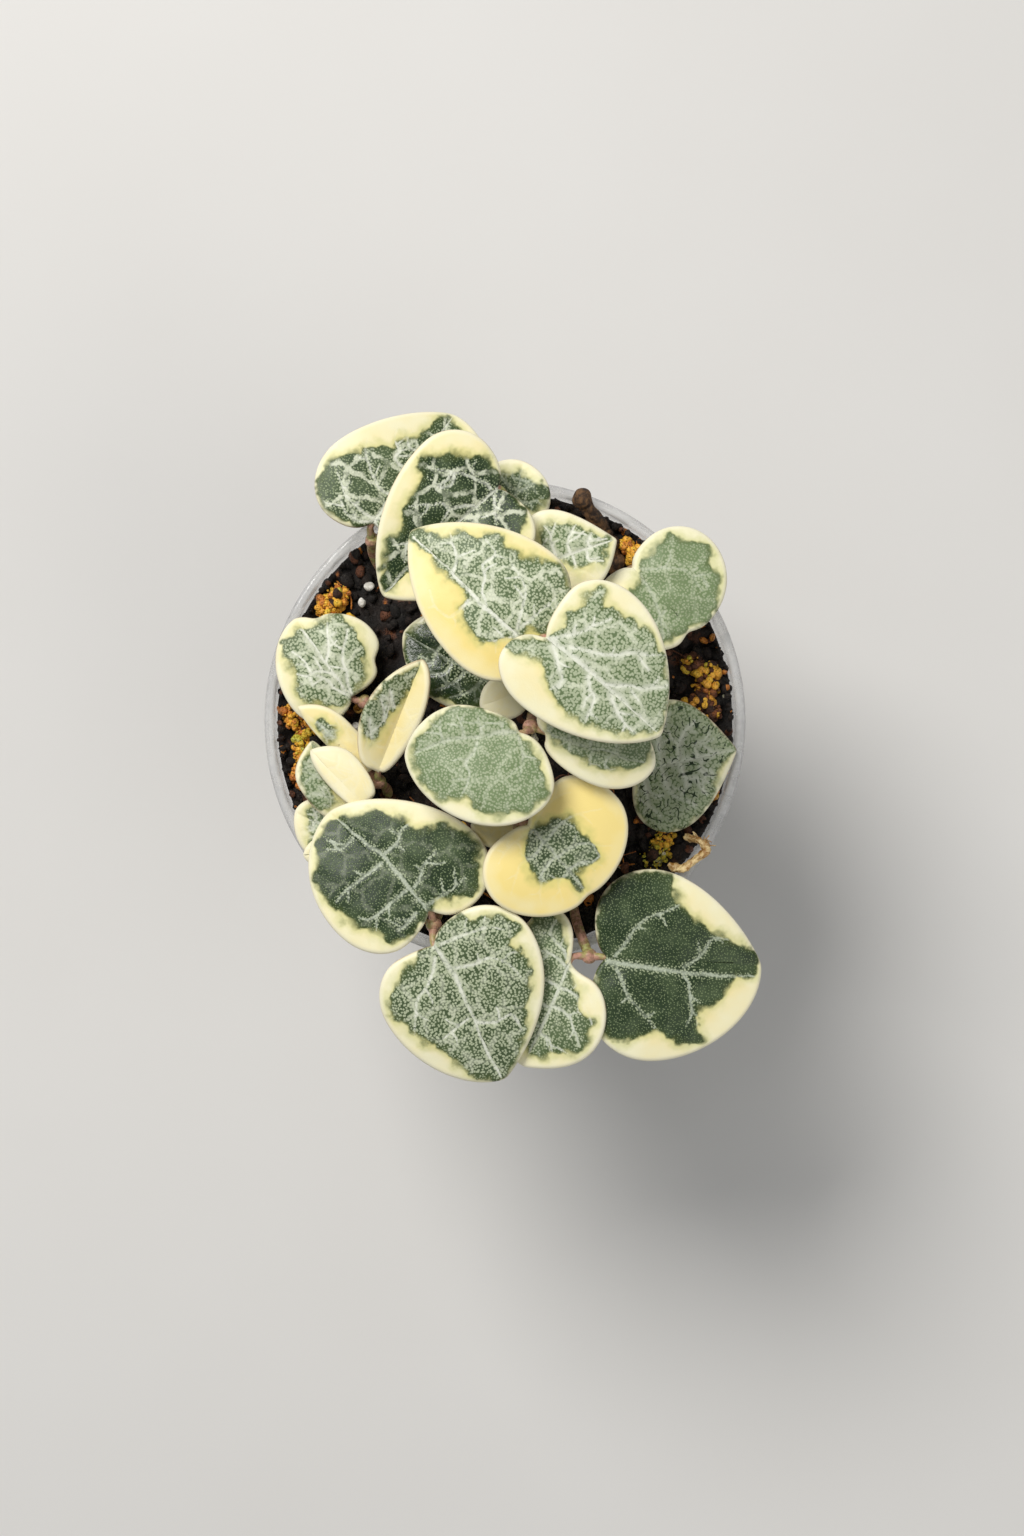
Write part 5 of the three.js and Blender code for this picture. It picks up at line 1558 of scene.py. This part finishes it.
ROOT_ROUTE = [(19, -16.5, 49.9), (20.1, -16.9, 50.8), (21.7, -15.8, 50.9), (23, -14.8, 50.9),
              (22.3, -13.7, 50.8), (20.9, -13.3, 49)]
ROOT_RADIUS = 0.55
ROOT_SIDES = 20
ROOT_RELIEF = ((0.26, 0.5, 9, 2), (0.14, 1.3, 10, 3))
ROOT_HAIRS = 12
ROOT_SEED = 4
HAIR_RADIUS = 0.06
HAIR_SIDES = 5


def root_piece(material):
    """A wrinkled strip with a tuft of hairs at its end."""
    pile = Pile()
    pile.add(*rough_tube(ROOT_ROUTE, 0.14, ROOT_RADIUS, ROOT_SIDES, 0.75, ROOT_RELIEF))
    source = np.random.default_rng(ROOT_SEED)
    for _ in range(ROOT_HAIRS):
        at = np.array(ROOT_ROUTE[4]) + source.normal(scale=0.25, size=3)
        tip = at + source.normal(size=3) * (0.9, 0.9, 0.3)
        bend = (at + tip) / 2 + source.normal(scale=0.15, size=3)
        pile.add(*tube(spline([at, bend, tip], 0.3), HAIR_RADIUS, HAIR_SIDES))
    return pile.build("dry_root_strip", material)


SHELL_CENTRE = (-16.8, 1.5, 48.4)
SHELL_RADIUS = 0.6
SHELL_HEIGHT = 0.8
SHELL_MOUTH = 0.3
SHELL_SIDES = 36


def shell_piece(material):
    top = SHELL_HEIGHT / 2
    profile = [(0, -top), (0.35, -top), (0.52, -top * 0.8), (SHELL_RADIUS, -0.1), (0.58, 0.15),
               (0.5, top * 0.85), (0.42, top), (0.35, top * 0.9), (SHELL_MOUTH, 0.2), (0.27, 0.02),
               (0.15, 0), (0, 0)]
    verts, faces = lathe(profile, SHELL_SIDES)
    verts *= (1 + 0.03 * waves(verts, 0.5, 6))[:, None]
    pile = Pile()
    pile.add(verts + np.array(SHELL_CENTRE), faces)
    return pile.build("fertiliser_coat", material)


PERLITE = {"perlite_1": (-15.6, 15.4, 48.4), "perlite_2": (-16.4, 13.6, 48.4), "perlite_3": (-17, -0.6, 48.4)}
PERLITE_SIZE = 0.6


def perlite_piece(name, material):
    pile = Pile()
    pile.add(*grain(PERLITE[name], PERLITE_SIZE * 0.9, seed_of(name), level=3, rough=0.14, stretch=0.15))
    return pile.build(name + "_grain", material)


# Stage, light and camera

FLOOR_HALF = 900
LIGHT_AIM = (0, 0, 0.04)
# Soft lights: place, size, power and colour
LIGHTS = {
    "window": ((-0.22, 0.28, 0.5), 0.3, 3.3, (1, 0.98, 0.95)),
    "fill": ((0.4, -0.25, 0.4), 0.5, 0.9, (1, 0.98, 0.94)),
}
ROOM_COLOR = (0.85, 0.88, 0.92, 1)
ROOM_STRENGTH = 0.3


def floor():
    verts = [(FLOOR_HALF * x, FLOOR_HALF * y, 0) for x, y in ((-1, -1), (1, -1), (1, 1), (-1, 1))]
    pile = Pile()
    pile.add(verts, [(0, 1, 2, 3)])
    piece = pile.build("floor", floor_material())


def soft_light(name):
    place_at, size, power, shade = LIGHTS[name]
    light = bpy.data.lights.new(name, "AREA")
    light.shape = "DISK"
    light.size = size
    light.energy = power
    light.color = shade
    lamp = bpy.data.objects.new(name, light)
    lamp.location = place_at
    way = Vector(LIGHT_AIM) - Vector(place_at)
    lamp.rotation_euler = way.to_track_quat("-Z", "Y").to_euler()
    bpy.context.scene.collection.objects.link(lamp)


def surroundings():
    world = bpy.data.worlds.new("soft_room")
    world.use_nodes = True
    sky = world.node_tree.nodes["Background"].inputs
    sky["Color"].default_value = ROOM_COLOR
    sky["Strength"].default_value = ROOM_STRENGTH
    bpy.context.scene.world = world


def camera():
    lens = bpy.data.cameras.new("camera")
    lens.sensor_fit = "VERTICAL"
    lens.sensor_height = SENSOR
    lens.lens = SENSOR * (CAMERA_AT[2] - RIM_LEVEL) / VIEW_HEIGHT
    lens.clip_start = 0.01
    view = bpy.data.objects.new("camera", lens)
    view.location = CAMERA_AT
    bpy.context.scene.collection.objects.link(view)
    bpy.context.scene.camera = view


def build_object():
    foliage = LeafLook().made()
    for name in SHOOTS:
        place(shoot_pile(name).build(name + "_leafy", foliage), "variegated_leaf", name)
    place(pot_piece(pot_material()), "clear_plastic", "pot")
    place(soil_piece(crumb_material("potting_mix")), "potting_mix", "soil")
    crumbs = {slot: crumb_material(slot) for slot in ("mix_crumb", "moss")}
    for name in CRUSTS:
        slot = "moss" if name.startswith("moss") else "mix_crumb"
        place(crust_piece(name, crumbs[slot]), slot, name)
    place(bark_piece(woody_material("bark")), "bark", "bark")
    place(root_piece(woody_material("dry_root")), "dry_root", "root_strip")
    place(shell_piece(woody_material("fertiliser_coat")), "fertiliser_coat", "fertiliser_shell")
    white = woody_material("perlite")
    for name in PERLITE:
        place(perlite_piece(name, white), "perlite", name)


build_object()
floor()
surroundings()
for name in LIGHTS:
    soft_light(name)
camera()
bpy.context.scene.view_settings.view_transform = "Standard"
